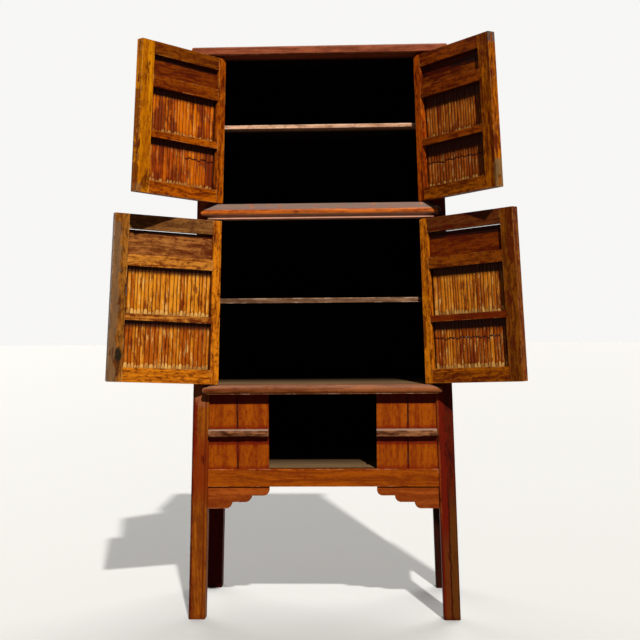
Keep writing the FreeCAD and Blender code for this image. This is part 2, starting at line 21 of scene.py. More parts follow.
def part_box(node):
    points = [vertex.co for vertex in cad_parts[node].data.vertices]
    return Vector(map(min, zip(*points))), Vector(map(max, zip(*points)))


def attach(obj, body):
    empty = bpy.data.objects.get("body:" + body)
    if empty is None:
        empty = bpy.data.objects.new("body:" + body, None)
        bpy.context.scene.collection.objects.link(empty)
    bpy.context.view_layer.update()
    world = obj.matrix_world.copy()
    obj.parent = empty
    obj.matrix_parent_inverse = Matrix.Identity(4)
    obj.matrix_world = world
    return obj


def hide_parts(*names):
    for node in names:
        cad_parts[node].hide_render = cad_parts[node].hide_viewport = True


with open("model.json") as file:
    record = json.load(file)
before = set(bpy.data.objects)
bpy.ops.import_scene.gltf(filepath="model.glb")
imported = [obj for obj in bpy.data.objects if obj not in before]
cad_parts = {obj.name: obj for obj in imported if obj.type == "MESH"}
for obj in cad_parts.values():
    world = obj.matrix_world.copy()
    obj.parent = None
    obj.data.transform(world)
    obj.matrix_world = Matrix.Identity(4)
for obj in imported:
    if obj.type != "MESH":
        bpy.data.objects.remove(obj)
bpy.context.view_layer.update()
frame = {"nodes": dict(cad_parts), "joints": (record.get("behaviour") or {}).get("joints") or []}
LOG = logging.getLogger("cabinet")

Point = tuple[float, float, float]
Tint = tuple[float, float, float]
Colour = tuple[float, float, float, float]
Span = tuple[float, float]
Socket = bpy.types.NodeSocket
Value = Union[Socket, float, Colour, Point]

# How close counts as the same
SAME_BAY = 1e-3
SAME_LEVEL = 1e-4
SAME_POINT = 2e-5
SAME_PLANE = math.radians(0.5)
# Where a patch ends that runs on past its piece
PAST_EDGE = -0.1
PAST_TOP = 3.0
UNDER_FLOOR = -0.2
# A stretch of a door that no cane stands in
NO_RING = (1.0, 0.0)


def paint(red: float, green: float, blue: float) -> Colour:
    """One opaque colour in linear light."""
    return (red, green, blue, 1.0)


def shaded(colour: Colour, share: float) -> Colour:
    """The colour made lighter or darker, never past white."""
    return paint(*(min(1.0, share * part) for part in colour[:3]))


class Grain(Enum):
    """Which way the fibres of a piece run while its door is shut."""

    UP = "up"
    ACROSS = "across"
    DEEP = "deep"

    def turn(self) -> Matrix:
        """Rotation that brings the fibres to the Z axis of the pattern.

        Returns:
            The rotation.
        """
        if self is Grain.ACROSS:
            return Matrix.Rotation(math.pi / 2, 3, "Y")
        if self is Grain.DEEP:
            return Matrix.Rotation(math.pi / 2, 3, "X")
        return Matrix.Identity(3)


class Graph:
    """Lays nodes in a shader tree and links them."""

    def __init__(self, tree: bpy.types.NodeTree) -> None:
        """Keep the tree that the nodes go into."""
        self.tree = tree

    def node(self, kind: str, **settings: object) -> bpy.types.Node:
        """Add one node.

        Args:
            kind: The node's type name.
            **settings: Properties to set on it.

        Returns:
            The new node.
        """
        made = self.tree.nodes.new(kind)
        for name, value in settings.items():
            setattr(made, name, value)
        return made

    def feed(self, socket: Socket, value: Value) -> None:
        """Link a value to an input, or set it there.

        Args:
            socket: The input.
            value: Another node's output, or a number, colour or vector.
        """
        if isinstance(value, bpy.types.NodeSocket):
            self.tree.links.new(value, socket)
        else:
            socket.default_value = value

    def math(self, operation: str, first: Value, second: Value = 0.0, clamp: bool = False) -> Socket:
        """Work out one number from two.

        Args:
            operation: Name of the Math node's operation.
            first: Socket or number.
            second: Socket or number.
            clamp: Keep the result between 0 and 1.

        Returns:
            The result's socket.
        """
        made = self.node("ShaderNodeMath", operation=operation, use_clamp=clamp)
        self.feed(made.inputs[0], first)
        self.feed(made.inputs[1], second)
        return made.outputs[0]

    def times(self, first: Value, second: Value, clamp: bool = False) -> Socket:
        """Product of two numbers."""
        return self.math("MULTIPLY", first, second, clamp)

    def plus(self, first: Value, second: Value, clamp: bool = False) -> Socket:
        """Sum of two numbers."""
        return self.math("ADD", first, second, clamp)

    def minus(self, first: Value, second: Value) -> Socket:
        """Difference of two numbers."""
        return self.math("SUBTRACT", first, second)

    def most(self, first: Value, second: Value) -> Socket:
        """The larger of two numbers."""
        return self.math("MAXIMUM", first, second)

    def weighed(self, *terms: tuple[Socket, float]) -> Socket:
        """Sum of values, each times its weight."""
        return reduce(self.plus, [self.times(value, weight) for value, weight in terms])

    def vectors(self, operation: str, first: Value, second: Value = (0.0, 0.0, 0.0)) -> bpy.types.Node:
        """Work out a vector or a number from two vectors.

        Args:
            operation: Name of the Vector Math node's operation.
            first: Socket or vector.
            second: Socket or vector.

        Returns:
            The node.
        """
        made = self.node("ShaderNodeVectorMath", operation=operation)
        self.feed(made.inputs[0], first)
        self.feed(made.inputs[1], second)
        return made

    def mix(self, share: Value, first: Value, second: Value) -> Socket:
        """Blend two colours.

        Args:
            share: How much of the second colour shows, from 0 to 1.
            first: Socket or colour.
            second: Socket or colour.

        Returns:
            The blended colour's socket.
        """
        made = self.node("ShaderNodeMix", data_type="RGBA")
        self.feed(made.inputs["Factor"], share)
        self.feed(made.inputs[6], first)
        self.feed(made.inputs[7], second)
        return made.outputs[2]

    def over(self, colour: Value, tint: Value, mask: Socket, share: float = 1.0) -> Socket:
        """Lay a tint over a colour.

        Args:
            colour: What lies below.
            tint: What is laid over it.
            mask: Where the tint lies.
            share: How well it covers.

        Returns:
            The new colour's socket.
        """
        if share != 1.0:
            mask = self.times(mask, share)
        return self.mix(mask, colour, tint)

    def between(self, value: Socket, low: Value, high: Value) -> Socket:
        """Smooth step from 0 to 1.

        Args:
            value: What is measured.
            low: Where the step starts. It may lie above the end.
            high: Where the step ends.

        Returns:
            The step's socket.
        """
        made = self.node("ShaderNodeMapRange", interpolation_type="SMOOTHSTEP")
        self.feed(made.inputs["Value"], value)
        self.feed(made.inputs["From Min"], low)
        self.feed(made.inputs["From Max"], high)
        return made.outputs["Result"]

    def stretched(self, vector: Socket, across: float, along: float) -> Socket:
        """Coordinates multiplied across the fibres (X and Y) and along them (Z)."""
        return self.vectors("MULTIPLY", vector, (across, across, along)).outputs[0]

    def moved(self, vector: Socket, turn: Euler, shift: Value) -> Socket:
        """Turn coordinates about the origin, then shift them.

        Args:
            vector: The coordinates.
            turn: The rotation.
            shift: The way to go.

        Returns:
            The new coordinates' socket.
        """
        made = self.node("ShaderNodeMapping")
        self.feed(made.inputs["Vector"], vector)
        self.feed(made.inputs["Rotation"], turn)
        self.feed(made.inputs["Location"], shift)
        return made.outputs["Vector"]

    def noise(self, vector: Socket, scale: float, detail: float, rough: float = 0.55) -> Socket:
        """Noise from 0 to 1.

        Args:
            vector: The coordinates.
            scale: How many lumps go to a metre.
            detail: How many finer layers it has.
            rough: How strong the finer layers are.

        Returns:
            The noise's socket.
        """
        made = self.node("ShaderNodeTexNoise", noise_dimensions="3D")
        self.feed(made.inputs["Vector"], vector)
        self.feed(made.inputs["Scale"], scale)
        self.feed(made.inputs["Detail"], detail)
        self.feed(made.inputs["Roughness"], rough)
        return made.outputs["Fac"]

    def drawn_out(self, vector: Socket, across: float, along: float, detail: float,
                  rough: float = 0.55) -> Socket:
        """Noise with one scale across the fibres and another along them."""
        return self.noise(self.stretched(vector, across, along), 1.0, detail, rough)

    def parts(self, vector: Socket) -> tuple[Socket, Socket, Socket]:
        """Take a vector apart.

        Args:
            vector: The vector.

        Returns:
            Its X, Y and Z.
        """
        made = self.node("ShaderNodeSeparateXYZ")
        self.feed(made.inputs[0], vector)
        return made.outputs[0], made.outputs[1], made.outputs[2]

    def place(self) -> Socket:
        """The object's own coordinates."""
        return self.node("ShaderNodeTexCoord").outputs["Object"]

    def attribute(self, name: str) -> Socket:
        """A number that the mesh carries."""
        return self.node("ShaderNodeAttribute", attribute_name=name).outputs["Fac"]

    def seen(self) -> Socket:
        """Tell what the camera sees, straight or in metal or glass, from what only lights the object.

        Returns:
            1 for the rays that are seen, and 0 for the others.
        """
        path = self.node("ShaderNodeLightPath").outputs
        return self.most(self.most(path["Is Camera Ray"], path["Is Transmission Ray"]), path["Is Glossy Ray"])

    def use(self, tree: bpy.types.NodeTree, **values: Value) -> bpy.types.NodeOutputs:
        """Place a shared effect.

        Args:
            tree: The effect's node group.
            **values: What each named input gets.

        Returns:
            The effect's outputs.
        """
        made = self.node("ShaderNodeGroup", node_tree=tree)
        for name, value in values.items():
            self.feed(made.inputs[name], value)
        return made.outputs

    def surface(self, colour: Value, rough: Socket, height: Socket, strength: float,
                depth: float) -> bpy.types.Node:
        """Close a material with a shader and a fine relief.

        Args:
            colour: The surface's colour.
            rough: Its roughness.
            height: The relief, from 0 to 1.
            strength: How strongly the relief shows.
            depth: How deep it is, in metres.

        Returns:
            The shader, for the settings that are the same all over.
        """
        relief = self.node("ShaderNodeBump")
        self.feed(relief.inputs["Strength"], strength)
        self.feed(relief.inputs["Distance"], depth)
        self.feed(relief.inputs["Height"], height)
        shader = self.node("ShaderNodeBsdfPrincipled")
        self.feed(shader.inputs["Base Color"], colour)
        self.feed(shader.inputs["Roughness"], rough)
        self.feed(shader.inputs["Normal"], relief.outputs["Normal"])
        out = self.node("ShaderNodeOutputMaterial")
        self.feed(out.inputs["Surface"], shader.outputs["BSDF"])
        return shader


def new_material(name: str) -> tuple[bpy.types.Material, Graph]:
    """Start an empty material.

    Args:
        name: The material's name.

    Returns:
        The material and the graph that its nodes go into.
    """
    material = bpy.data.materials.new(name)
    material.use_nodes = True
    material.node_tree.nodes.clear()
    return material, Graph(material.node_tree)


@dataclass(frozen=True)
class Carcass:
    """Planes of the leaning carcass that the soot and painted shade keep to, read off the CAD nodes."""

    half_floor: float
    lean: float
    front: float
    wall_middle: float
    back_middle: float
    floor_level: float
    top_level: float
    clean_edge: float = 0.012
    top_skin: float = 0.002

    @classmethod
    def from_frame(cls) -> "Carcass":
        """Measure the planes on the posts, panels and boards.

        Returns:
            The measured carcass.
        """
        panel = [v.co for v in frame["nodes"]["side_panels_right"].data.vertices]
        foot, head = min(p.z for p in panel), max(p.z for p in panel)
        low = [p.x for p in panel if p.z < foot + SAME_LEVEL]
        high = [p.x for p in panel if p.z > head - SAME_LEVEL]
        lean = (max(low) - max(high)) / (head - foot)
        post_low, post_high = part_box("post_front_right")
        back_low, back_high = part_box("back_panels")
        floor_low, floor_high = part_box("lower_floor")
        return cls(half_floor=post_high.x, lean=lean, front=post_low.y,
                   wall_middle=post_high.x - lean * foot - (min(low) + max(low)) / 2,
                   back_middle=(back_low.y + back_high.y) / 2,
                   floor_level=(floor_low.z + floor_high.z) / 2,
                   top_level=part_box("top_panel")[1].z - cls.top_skin)

    def inset(self, graph: Graph, x: Socket, z: Socket) -> Socket:
        """How far a point lies inside the leaning outer faces."""
        wall = graph.minus(self.half_floor, graph.times(z, self.lean))
        return graph.minus(wall, graph.math("ABSOLUTE", x))


class Effect(Graph):
    """A shared node group with named inputs and outputs."""

    def __init__(self, name: str, numbers: dict[str, float], outputs: tuple[str, ...]) -> None:
        """Begin the group.

        Args:
            name: Name of the group.
            numbers: Its inputs besides the coordinates, with the values that they start at.
            outputs: Names of the values that it puts out.
        """
        super().__init__(bpy.data.node_groups.new(name, "ShaderNodeTree"))
        sockets = self.tree.interface
        sockets.new_socket(name="Vector", in_out="INPUT", socket_type="NodeSocketVector")
        for label, value in numbers.items():
            made = sockets.new_socket(name=label, in_out="INPUT", socket_type="NodeSocketFloat")
            made.default_value = value
        for label in outputs:
            sockets.new_socket(name=label, in_out="OUTPUT", socket_type="NodeSocketFloat")
        self.given = self.node("NodeGroupInput").outputs
        self.results = self.node("NodeGroupOutput").inputs

    def put(self, **values: Socket) -> bpy.types.NodeTree:
        """Close the group.

        Args:
            **values: What each named output gets.

        Returns:
            The group's tree.
        """
        for name, value in values.items():
            self.feed(self.results[name], value)
        return self.tree


class Effects:
    """Node groups for the marks of age, and for painted shade in crevices and inside the carcass, that
    several finishes share.
    """

    sway = 0.06
    worn_arris = 0.005
    crevice = 0.03

    def __init__(self, carcass: Carcass) -> None:
        """Build every group once.

        Args:
            carcass: The planes that the soot and painted shade keep to.
        """
        self.figure = self.wood_figure()
        self.stain = self.old_stain()
        self.rub = self.edge_rub()
        self.grime = self.crevice_grime()
        self.dust = self.dust_film()
        self.soot = self.inner_soot(carcass)
        self.drift = self.tone_drift()

    def wood_figure(self) -> bpy.types.NodeTree:
        """Growth streaks, fine fibres and their relief, drawn out along Z.

        Returns:
            The group.
        """
        effect = Effect("wood_figure", {"Coarse": 45.0}, ("Figure", "Fibre", "Height"))
        place = effect.given["Vector"]
        bend = effect.times(effect.drawn_out(place, across=5.0, along=2.2, detail=2.0), self.sway)
        shift = effect.node("ShaderNodeCombineXYZ")
        effect.feed(shift.inputs[0], bend)
        effect.feed(shift.inputs[1], bend)
        swayed = effect.vectors("ADD", place, shift.outputs[0]).outputs[0]
        size = effect.vectors("SCALE", effect.stretched(swayed, across=1.0, along=0.05))
        effect.feed(size.inputs["Scale"], effect.given["Coarse"])
        streaks = effect.noise(size.outputs[0], scale=1.0, detail=5.0, rough=0.66)
        bands = effect.noise(size.outputs[0], scale=3.1, detail=3.0, rough=0.65)
        figure = effect.between(effect.weighed((streaks, 0.55), (bands, 0.45)), 0.44, 0.57)
        fibre = effect.drawn_out(swayed, across=520.0, along=11.0, detail=2.0)
        height = effect.weighed((fibre, 0.6), (figure, -0.4))
        return effect.put(Figure=figure, Fibre=fibre, Height=height)

    def old_stain(self) -> bpy.types.NodeTree:
        """Dark old lacquer in streaks along the fibres, small round marks, and a mottled patina.

        Returns:
            The group.
        """
        effect = Effect("old_stain", {"Share": 0.4}, ("Stain", "Marks", "Mottle", "Faded"))
        place = effect.given["Vector"]
        patches = effect.drawn_out(place, across=34.0, along=9.0, detail=6.0, rough=0.7)
        limit = effect.minus(0.7, effect.times(effect.given["Share"], 0.4))
        stain = effect.between(patches, limit, effect.plus(limit, 0.08))
        spots = effect.node("ShaderNodeTexVoronoi", feature="F1")
        effect.feed(spots.inputs["Vector"], effect.stretched(place, across=26.0, along=15.0))
        size = effect.parts(spots.outputs["Color"])[0]
        reach = effect.times(effect.between(size, 0.6, 1.0), 0.16)
        inside = effect.minus(reach, spots.outputs["Distance"])
        patina = effect.drawn_out(place, across=95.0, along=38.0, detail=6.0, rough=0.72)
        return effect.put(Stain=stain, Marks=effect.between(inside, 0.0, 0.03),
                          Mottle=effect.between(patina, 0.5, 0.62), Faded=effect.between(patina, 0.47, 0.36))

    def edge_rub(self) -> bpy.types.NodeTree:
        """Arrises: rubbed through to bare wood in places, dark with old lacquer in others.

        Returns:
            The group.
        """
        effect = Effect("edge_rub", {"Wear": 0.5, "Keep": 0.8}, ("Rubbed", "Kept"))
        rounded = effect.node("ShaderNodeBevel", samples=4)
        effect.feed(rounded.inputs["Radius"], self.worn_arris)
        flat = effect.node("ShaderNodeNewGeometry")
        turn = effect.vectors("DOT_PRODUCT", rounded.outputs[0], flat.outputs["Normal"])
        edge = effect.between(turn.outputs["Value"], 0.99, 0.88)
        uneven = effect.noise(effect.given["Vector"], scale=27.0, detail=4.0, rough=0.65)
        worn = effect.times(edge, effect.between(uneven, 0.47, 0.6))
        kept = effect.times(edge, effect.between(uneven, 0.5, 0.38))
        return effect.put(Rubbed=effect.times(worn, effect.given["Wear"], clamp=True),
                          Kept=effect.times(kept, effect.given["Keep"]))

    def crevice_grime(self) -> bpy.types.NodeTree:
        """Dirt that gathers where pieces meet, and painted shade there, darkest where ambient occlusion is
        deepest.

        Returns:
            The group.
        """
        effect = Effect("crevice_grime", {"Depth": 0.7}, ("Grime",))
        hollow = effect.node("ShaderNodeAmbientOcclusion", samples=6)
        effect.feed(hollow.inputs["Distance"], self.crevice)
        closed = effect.between(hollow.outputs["AO"], 0.84, 0.3)
        uneven = effect.plus(effect.noise(effect.given["Vector"], scale=21.0, detail=3.0), 0.35)
        share = effect.times(effect.times(closed, uneven), effect.given["Depth"], clamp=True)
        return effect.put(Grime=share)

    def dust_film(self) -> bpy.types.NodeTree:
        """Pale dust on faces that look up.

        Returns:
            The group.
        """
        effect = Effect("dust_film", {"Amount": 0.5}, ("Dust",))
        flat = effect.node("ShaderNodeNewGeometry")
        up = effect.between(effect.parts(flat.outputs["Normal"])[2], 0.3, 0.6)
        uneven = effect.noise(effect.given["Vector"], scale=42.0, detail=5.0, rough=0.62)
        lumps = effect.between(uneven, 0.16, 0.46)
        share = effect.times(effect.times(up, lumps), effect.given["Amount"], clamp=True)
        return effect.put(Dust=share)

    def inner_soot(self, carcass: Carcass) -> bpy.types.NodeTree:
        """Kitchen soot and painted shade on everything inside the carcass, which build up over a reach behind
        the open front.

        Args:
            carcass: The planes that the soot and painted shade keep to.

        Returns:
            The group.
        """
        effect = Effect("inner_soot", {"Reach": 0.04}, ("Soot",))
        x, y, z = effect.parts(effect.given["Vector"])
        start = carcass.front + carcass.clean_edge
        limits = (effect.math("GREATER_THAN", carcass.inset(effect, x, z), carcass.wall_middle),
                  effect.between(y, start, effect.plus(start, effect.given["Reach"])),
                  effect.math("LESS_THAN", y, carcass.back_middle),
                  effect.math("GREATER_THAN", z, carcass.floor_level),
                  effect.math("LESS_THAN", z, carcass.top_level))
        return effect.put(Soot=reduce(effect.times, limits))

    def tone_drift(self) -> bpy.types.NodeTree:
        """Slow change of tone over a board, from hands, smoke and sun.

        Returns:
            The group.
        """
        effect = Effect("tone_drift", {}, ("Drift",))
        slow = effect.noise(effect.given["Vector"], scale=7.0, detail=4.0, rough=0.6)
        return effect.put(Drift=effect.between(slow, 0.32, 0.68))


@dataclass(frozen=True)
class Patch:
    """A part of a piece in another colour: a strip beside an edge, a level band, or where the two meet.

    A strip is measured from the meeting edge of a door, from the outer face of the carcass, or, where it
    stands upright, from the carcass's middle plane.
    """

    colour: Colour
    share: float = 0.8
    across: Span | None = None
    level: Span | None = None
    right_only: bool = False
    upright: bool = False
    ragged: float = 0.012
    soft: float = 0.004
    fade: float = 0.01

    def mask(self, graph: Graph, place: Socket, across: Socket) -> Socket:
        """Where the patch lies, with a ragged rim.

        Args:
            graph: The material's graph.
            place: Coordinates of the closed piece.
            across: How far each point lies from the edge that strips are measured from.

        Returns:
            The mask's socket.
        """
        wave = graph.minus(graph.noise(place, scale=30.0, detail=5.0, rough=0.7), 0.5)
        wave = graph.times(wave, 3.0 * self.ragged)
        x, _, height = graph.parts(place)
        mask: Value = self.share
        for value, span, soft in ((across, self.across, self.soft), (height, self.level, self.fade)):
            if span:
                moved = graph.plus(value, wave)
                start = graph.between(moved, span[0] - soft, span[0])
                stop = graph.between(moved, span[1] + soft, span[1])
                mask = graph.times(graph.times(start, stop), mask)
        if self.right_only:
            mask = graph.times(graph.math("GREATER_THAN", x, 0.0), mask)
        return mask


@dataclass(frozen=True)
class Knot:
    """A dark knot with a ragged rim, a little longer than it is wide."""

    centre: Point
    colour: Colour = paint(0.012, 0.009, 0.005)
    share: float = 0.95
    reach: Span = (0.016, 0.0235)
    ragged: float = 0.016
    flatten: float = 0.55

    def mask(self, graph: Graph, place: Socket) -> Socket:
        """Where the knot lies.

        Args:
            graph: The material's graph.
            place: Coordinates of the closed piece.

        Returns:
            The mask's socket.
        """
        offset = graph.vectors("SUBTRACT", place, self.centre).outputs[0]
        length = graph.vectors("LENGTH", graph.stretched(offset, across=1.0, along=self.flatten))
        wave = graph.times(graph.noise(place, scale=90.0, detail=4.0, rough=0.7), self.ragged)
        far = graph.plus(length.outputs["Value"], wave)
        return graph.times(graph.between(far, self.reach[1], self.reach[0]), self.share)


@dataclass(frozen=True)
class WoodFinish:
    """Colours and wear of one kind of wood surface."""

    name: str
    pale: Colour
    deep: Colour
    stain: Colour
    bare: Colour
    stained: float = 0.4
    mottled: float = 0.6
    flecked: float = 0.3
    wear: float = 0.5
    kept: float = 0.8
    # Share of dirt and painted shade where pieces meet.
    grime: float = 0.9
    dusty: float = 0.0
    coarse: float = 45.0
    roughness: float = 0.5
    gloss: float = 0.035
    lacquer: float = 0.01
    dust: Colour = paint(0.31, 0.2, 0.14)
    # Near black for soot and for painted shade inside the carcass.
    soot: Colour = paint(0.004, 0.0015, 0.001)
    soot_reach: float | None = None
    knot: Knot | None = None
    patches: tuple[Patch, ...] = ()

    def tinted(self, name: str, pale: Tint, deep: Tint, **changes: object) -> "WoodFinish":
        """A finish like this one in other tones.

        Args:
            name: Name of the new finish.
            pale: Tone of the wood.
            deep: Tone of its streaks.
            **changes: Whatever else differs.

        Returns:
            The new finish.
        """
        return replace(self, name=name, pale=paint(*pale), deep=paint(*deep), **changes)


class Finishes:
    """The wood finishes of the cabinet."""

    red_stain = paint(0.075, 0.006, 0.001)

    edge_red = Patch(paint(0.12, 0.012, 0.001), 0.75, across=(PAST_EDGE, 0.002), level=(0.0, 1.66))
    worn_corner = Patch(paint(0.20, 0.085, 0.03), 0.7, across=(PAST_EDGE, 0.018), level=(0.0, 1.372),
                        ragged=0.02)
    handled = Patch(paint(0.16, 0.088, 0.040), 0.72, across=(PAST_EDGE, 0.020), level=(0.0, 1.262),
                    ragged=0.016, soft=0.008)
    grey_end = Patch(paint(0.085, 0.07, 0.06), 0.9, across=(PAST_EDGE, 0.004), level=(1.79, PAST_TOP),
                     ragged=0.004)
    olive_end = Patch(paint(0.15, 0.105, 0.04), 0.7, across=(PAST_EDGE, 0.004), level=(0.0, 1.43),
                      ragged=0.006)
    smoked = Patch(red_stain, 0.55, level=(1.61, PAST_TOP), ragged=0.0)
    red_rail = Patch(paint(0.14, 0.012, 0.001), 0.7, level=(0.9, 1.09), ragged=0.0)

    dark_outside = Patch(paint(0.075, 0.004, 0.001), 0.85, across=(PAST_EDGE, 0.005), ragged=0.006)
    red_outside = Patch(paint(0.13, 0.006, 0.001), 0.9, across=(PAST_EDGE, 0.013), level=(0.55, 0.69),
                        soft=0.006, fade=0.03)
    reddened = Patch(paint(0.17, 0.018, 0.001), 0.85, level=(0.43, 0.55), ragged=0.03, fade=0.08)
    scuffed_head = Patch(paint(0.26, 0.075, 0.028), 0.8, across=(0.006, 0.046), level=(0.70, 0.76),
                         ragged=0.01, soft=0.006, fade=0.015)
    inner_line = Patch(paint(0.10, 0.012, 0.001), 0.75, across=(0.042, 0.046), ragged=0.003, soft=0.002)

    olive_outside = Patch(paint(0.092, 0.027, 0.0025), 0.85, across=(PAST_EDGE, 0.024),
                          level=(UNDER_FLOOR, 0.28), ragged=0.01, fade=0.2)
    brown_inside = Patch(paint(0.105, 0.024, 0.003), 0.8, across=(0.028, 0.044), level=(UNDER_FLOOR, 0.2),
                         ragged=0.008, fade=0.12)
    red_inside = Patch(paint(0.115, 0.006, 0.001), 0.85, across=(0.030, 0.2), soft=0.008)
    # Painted highlight: a brighter strip along the inner edge of the shaded right post.
    lit_inner_edge = Patch(paint(0.22, 0.036, 0.005), 0.85, across=(0.0495, 0.2), level=(0.38, 1.0),
                           ragged=0.005, fade=0.1)
    black_line = Patch(paint(0.026, 0.003, 0.001), 0.9, across=(0.0245, 0.0275), level=(UNDER_FLOOR, 0.36),
                       ragged=0.004, soft=0.002, fade=0.12)

    amber = WoodFinish("amber", paint(0.60, 0.182, 0.0012), paint(0.30, 0.062, 0.001), red_stain,
                       paint(0.70, 0.30, 0.06), mottled=0.8, wear=0.6)
    amber_edge = amber.tinted("amber_edge", (0.72, 0.245, 0.0014), (0.46, 0.120, 0.001), stained=0.28,
                              mottled=0.45, patches=(edge_red, worn_corner))
    bright = amber.tinted("bright_amber", (0.62, 0.182, 0.004), (0.35, 0.078, 0.002))
    streaky = amber.tinted("streaky_amber", (0.56, 0.20, 0.022), (0.22, 0.048, 0.003), wear=0.8)
    greyed = amber.tinted("handled_amber", (0.34, 0.118, 0.012), (0.18, 0.052, 0.004),
                          stain=paint(0.05, 0.012, 0.003), patches=(handled,))
    # Painted shade on handled grey wood: the lower left door's top rail, darker and greyer as if in shadow.
    greyed_rail = greyed.tinted("greyed_rail", (0.25, 0.098, 0.022), (0.13, 0.044, 0.009), patches=())
    browned = amber.tinted("browned", (0.215, 0.050, 0.001), (0.10, 0.017, 0.001))
    russet = amber.tinted("russet", (0.49, 0.106, 0.001), (0.26, 0.040, 0.001), wear=0.7)
    russet_rails = replace(russet, name="russet_rails", patches=(smoked,))
    frieze_dark = amber.tinted("frieze_dark", (0.21, 0.036, 0.001), (0.085, 0.010, 0.001))
    frieze_grey = amber.tinted("frieze_grey", (0.38, 0.135, 0.026), (0.16, 0.042, 0.006))

    # Painted shade: the right doors' amber, darkened for doors turned from the light; the warm and ruddy
    # hinge-stile tones are lighter again.
    shaded_dusk = amber.tinted("dusk_amber", (0.42, 0.105, 0.001), (0.19, 0.036, 0.001), stained=0.44,
                        bare=paint(0.56, 0.22, 0.04))
    dusk_edge = replace(shaded_dusk, name="dusk_edge", pale=paint(0.47, 0.122, 0.001), patches=(grey_end, olive_end))
    dusk_red = shaded_dusk.tinted("dusk_red", (0.30, 0.055, 0.001), (0.12, 0.016, 0.001))
    dusk_rails = shaded_dusk.tinted("dusk_rails", (0.25, 0.056, 0.002), (0.11, 0.018, 0.001), patches=(red_rail,))
    dusk_grey = shaded_dusk.tinted("dusk_grey", (0.24, 0.065, 0.003), (0.10, 0.022, 0.001))
    # Painted shadow: the lower right door's top rail, darkened as if under the upper door's shadow.
    dusk_top = shaded_dusk.tinted("dusk_top", (0.13, 0.032, 0.005), (0.055, 0.011, 0.002))
    dusk_warm = shaded_dusk.tinted("dusk_warm", (0.62, 0.180, 0.004), (0.36, 0.084, 0.002), grime=0.3)
    dusk_ruddy = dusk_warm.tinted("dusk_ruddy", (0.52, 0.092, 0.002), (0.29, 0.040, 0.001))
    frieze_dusk = shaded_dusk.tinted("frieze_dusk", (0.27, 0.056, 0.002), (0.12, 0.018, 0.001))

    red = WoodFinish("red_lacquer", paint(0.36, 0.080, 0.002), paint(0.16, 0.023, 0.001),
                     paint(0.06, 0.003, 0.001), paint(0.52, 0.18, 0.06), wear=0.9, dusty=0.4, soot_reach=0.04)
    red_post = red.tinted("red_post", (0.28, 0.068, 0.003), (0.17, 0.034, 0.002), stained=0.3, mottled=0.35,
                          patches=(reddened, scuffed_head, red_outside, dark_outside, inner_line))
    # Painted shade: the red lacquer darkened for the right front post and the rear posts, which stand in
    # shade.
    dark_red = red.tinted("dark_red", (0.085, 0.008, 0.001), (0.05, 0.003, 0.001),
                          stain=paint(0.03, 0.002, 0.001), bare=paint(0.24, 0.085, 0.03))
    dark_post = replace(dark_red, name="dark_post", mottled=0.4,
                        patches=(red_inside, olive_outside, brown_inside, lit_inner_edge, black_line))
    rear_post = dark_red.tinted("rear_post", (0.08, 0.002, 0.001), (0.05, 0.001, 0.001))
    rear_post_olive = rear_post.tinted("rear_post_olive", (0.019, 0.005, 0.001), (0.012, 0.003, 0.001))
    ledge = red.tinted("moulded_ledge", (0.66, 0.155, 0.012), (0.34, 0.060, 0.004), stained=0.2, mottled=0.3,
                       wear=0.35, kept=0.3, dusty=0.9, gloss=0.1, bare=paint(0.62, 0.31, 0.20),
                       dust=paint(0.165, 0.122, 0.098))
    waist = red.tinted("moulded_waist", (0.275, 0.082, 0.023), (0.165, 0.040, 0.009), stained=0.25,
                       mottled=0.3, wear=1.0, kept=0.15, dusty=0.25, bare=paint(0.55, 0.27, 0.16))
    top = red.tinted("top_board", (0.32, 0.082, 0.032), (0.20, 0.044, 0.016), stained=0.15, mottled=0.3,
                     dusty=0.45, dust=paint(0.24, 0.13, 0.08))

    orange = WoodFinish("orange_lacquer", paint(0.30, 0.060, 0.001), paint(0.23, 0.036, 0.001),
                        paint(0.13, 0.007, 0.001), paint(0.56, 0.22, 0.09), stained=0.3, mottled=0.4,
                        flecked=0.1, coarse=20.0, wear=1.0, soot_reach=0.02)
    apron = orange.tinted("apron_lacquer", (0.30, 0.060, 0.001), (0.19, 0.031, 0.001), coarse=40.0)
    bracket = orange.tinted("bracket_lacquer", (0.31, 0.062, 0.006), (0.20, 0.035, 0.003))
    panel = replace(orange, stained=0.36, mottled=0.6, wear=0.15)

    weathered = WoodFinish("weathered_batten", paint(0.29, 0.112, 0.041), paint(0.115, 0.032, 0.009),
                           paint(0.03, 0.004, 0.001), paint(0.40, 0.24, 0.12), stained=0.5, wear=0.8,
                           dusty=0.85, roughness=0.7, lacquer=0.0)
    backing = WoodFinish("raw_backing", paint(0.14, 0.054, 0.022), paint(0.085, 0.028, 0.011),
                         paint(0.045, 0.013, 0.006), paint(0.26, 0.13, 0.06), stained=0.2, mottled=0.3,
                         roughness=0.66, lacquer=0.0, soot_reach=0.03)
    shelf = WoodFinish("shelf_board", paint(0.80, 0.47, 0.29), paint(0.50, 0.24, 0.125),
                       paint(0.09, 0.025, 0.012), paint(0.8, 0.56, 0.38), stained=0.26, mottled=0.45,
                       wear=0.9, kept=0.2, dusty=0.3, roughness=0.66, lacquer=0.0, soot_reach=0.1)
    old_shelf = shelf.tinted("old_shelf_board", (0.25, 0.135, 0.07), (0.11, 0.05, 0.022))
    floor = shelf.tinted("floor_board", (0.24, 0.14, 0.062), (0.10, 0.05, 0.02), dusty=0.5, soot_reach=0.34,
                         dust=paint(0.215, 0.132, 0.06))


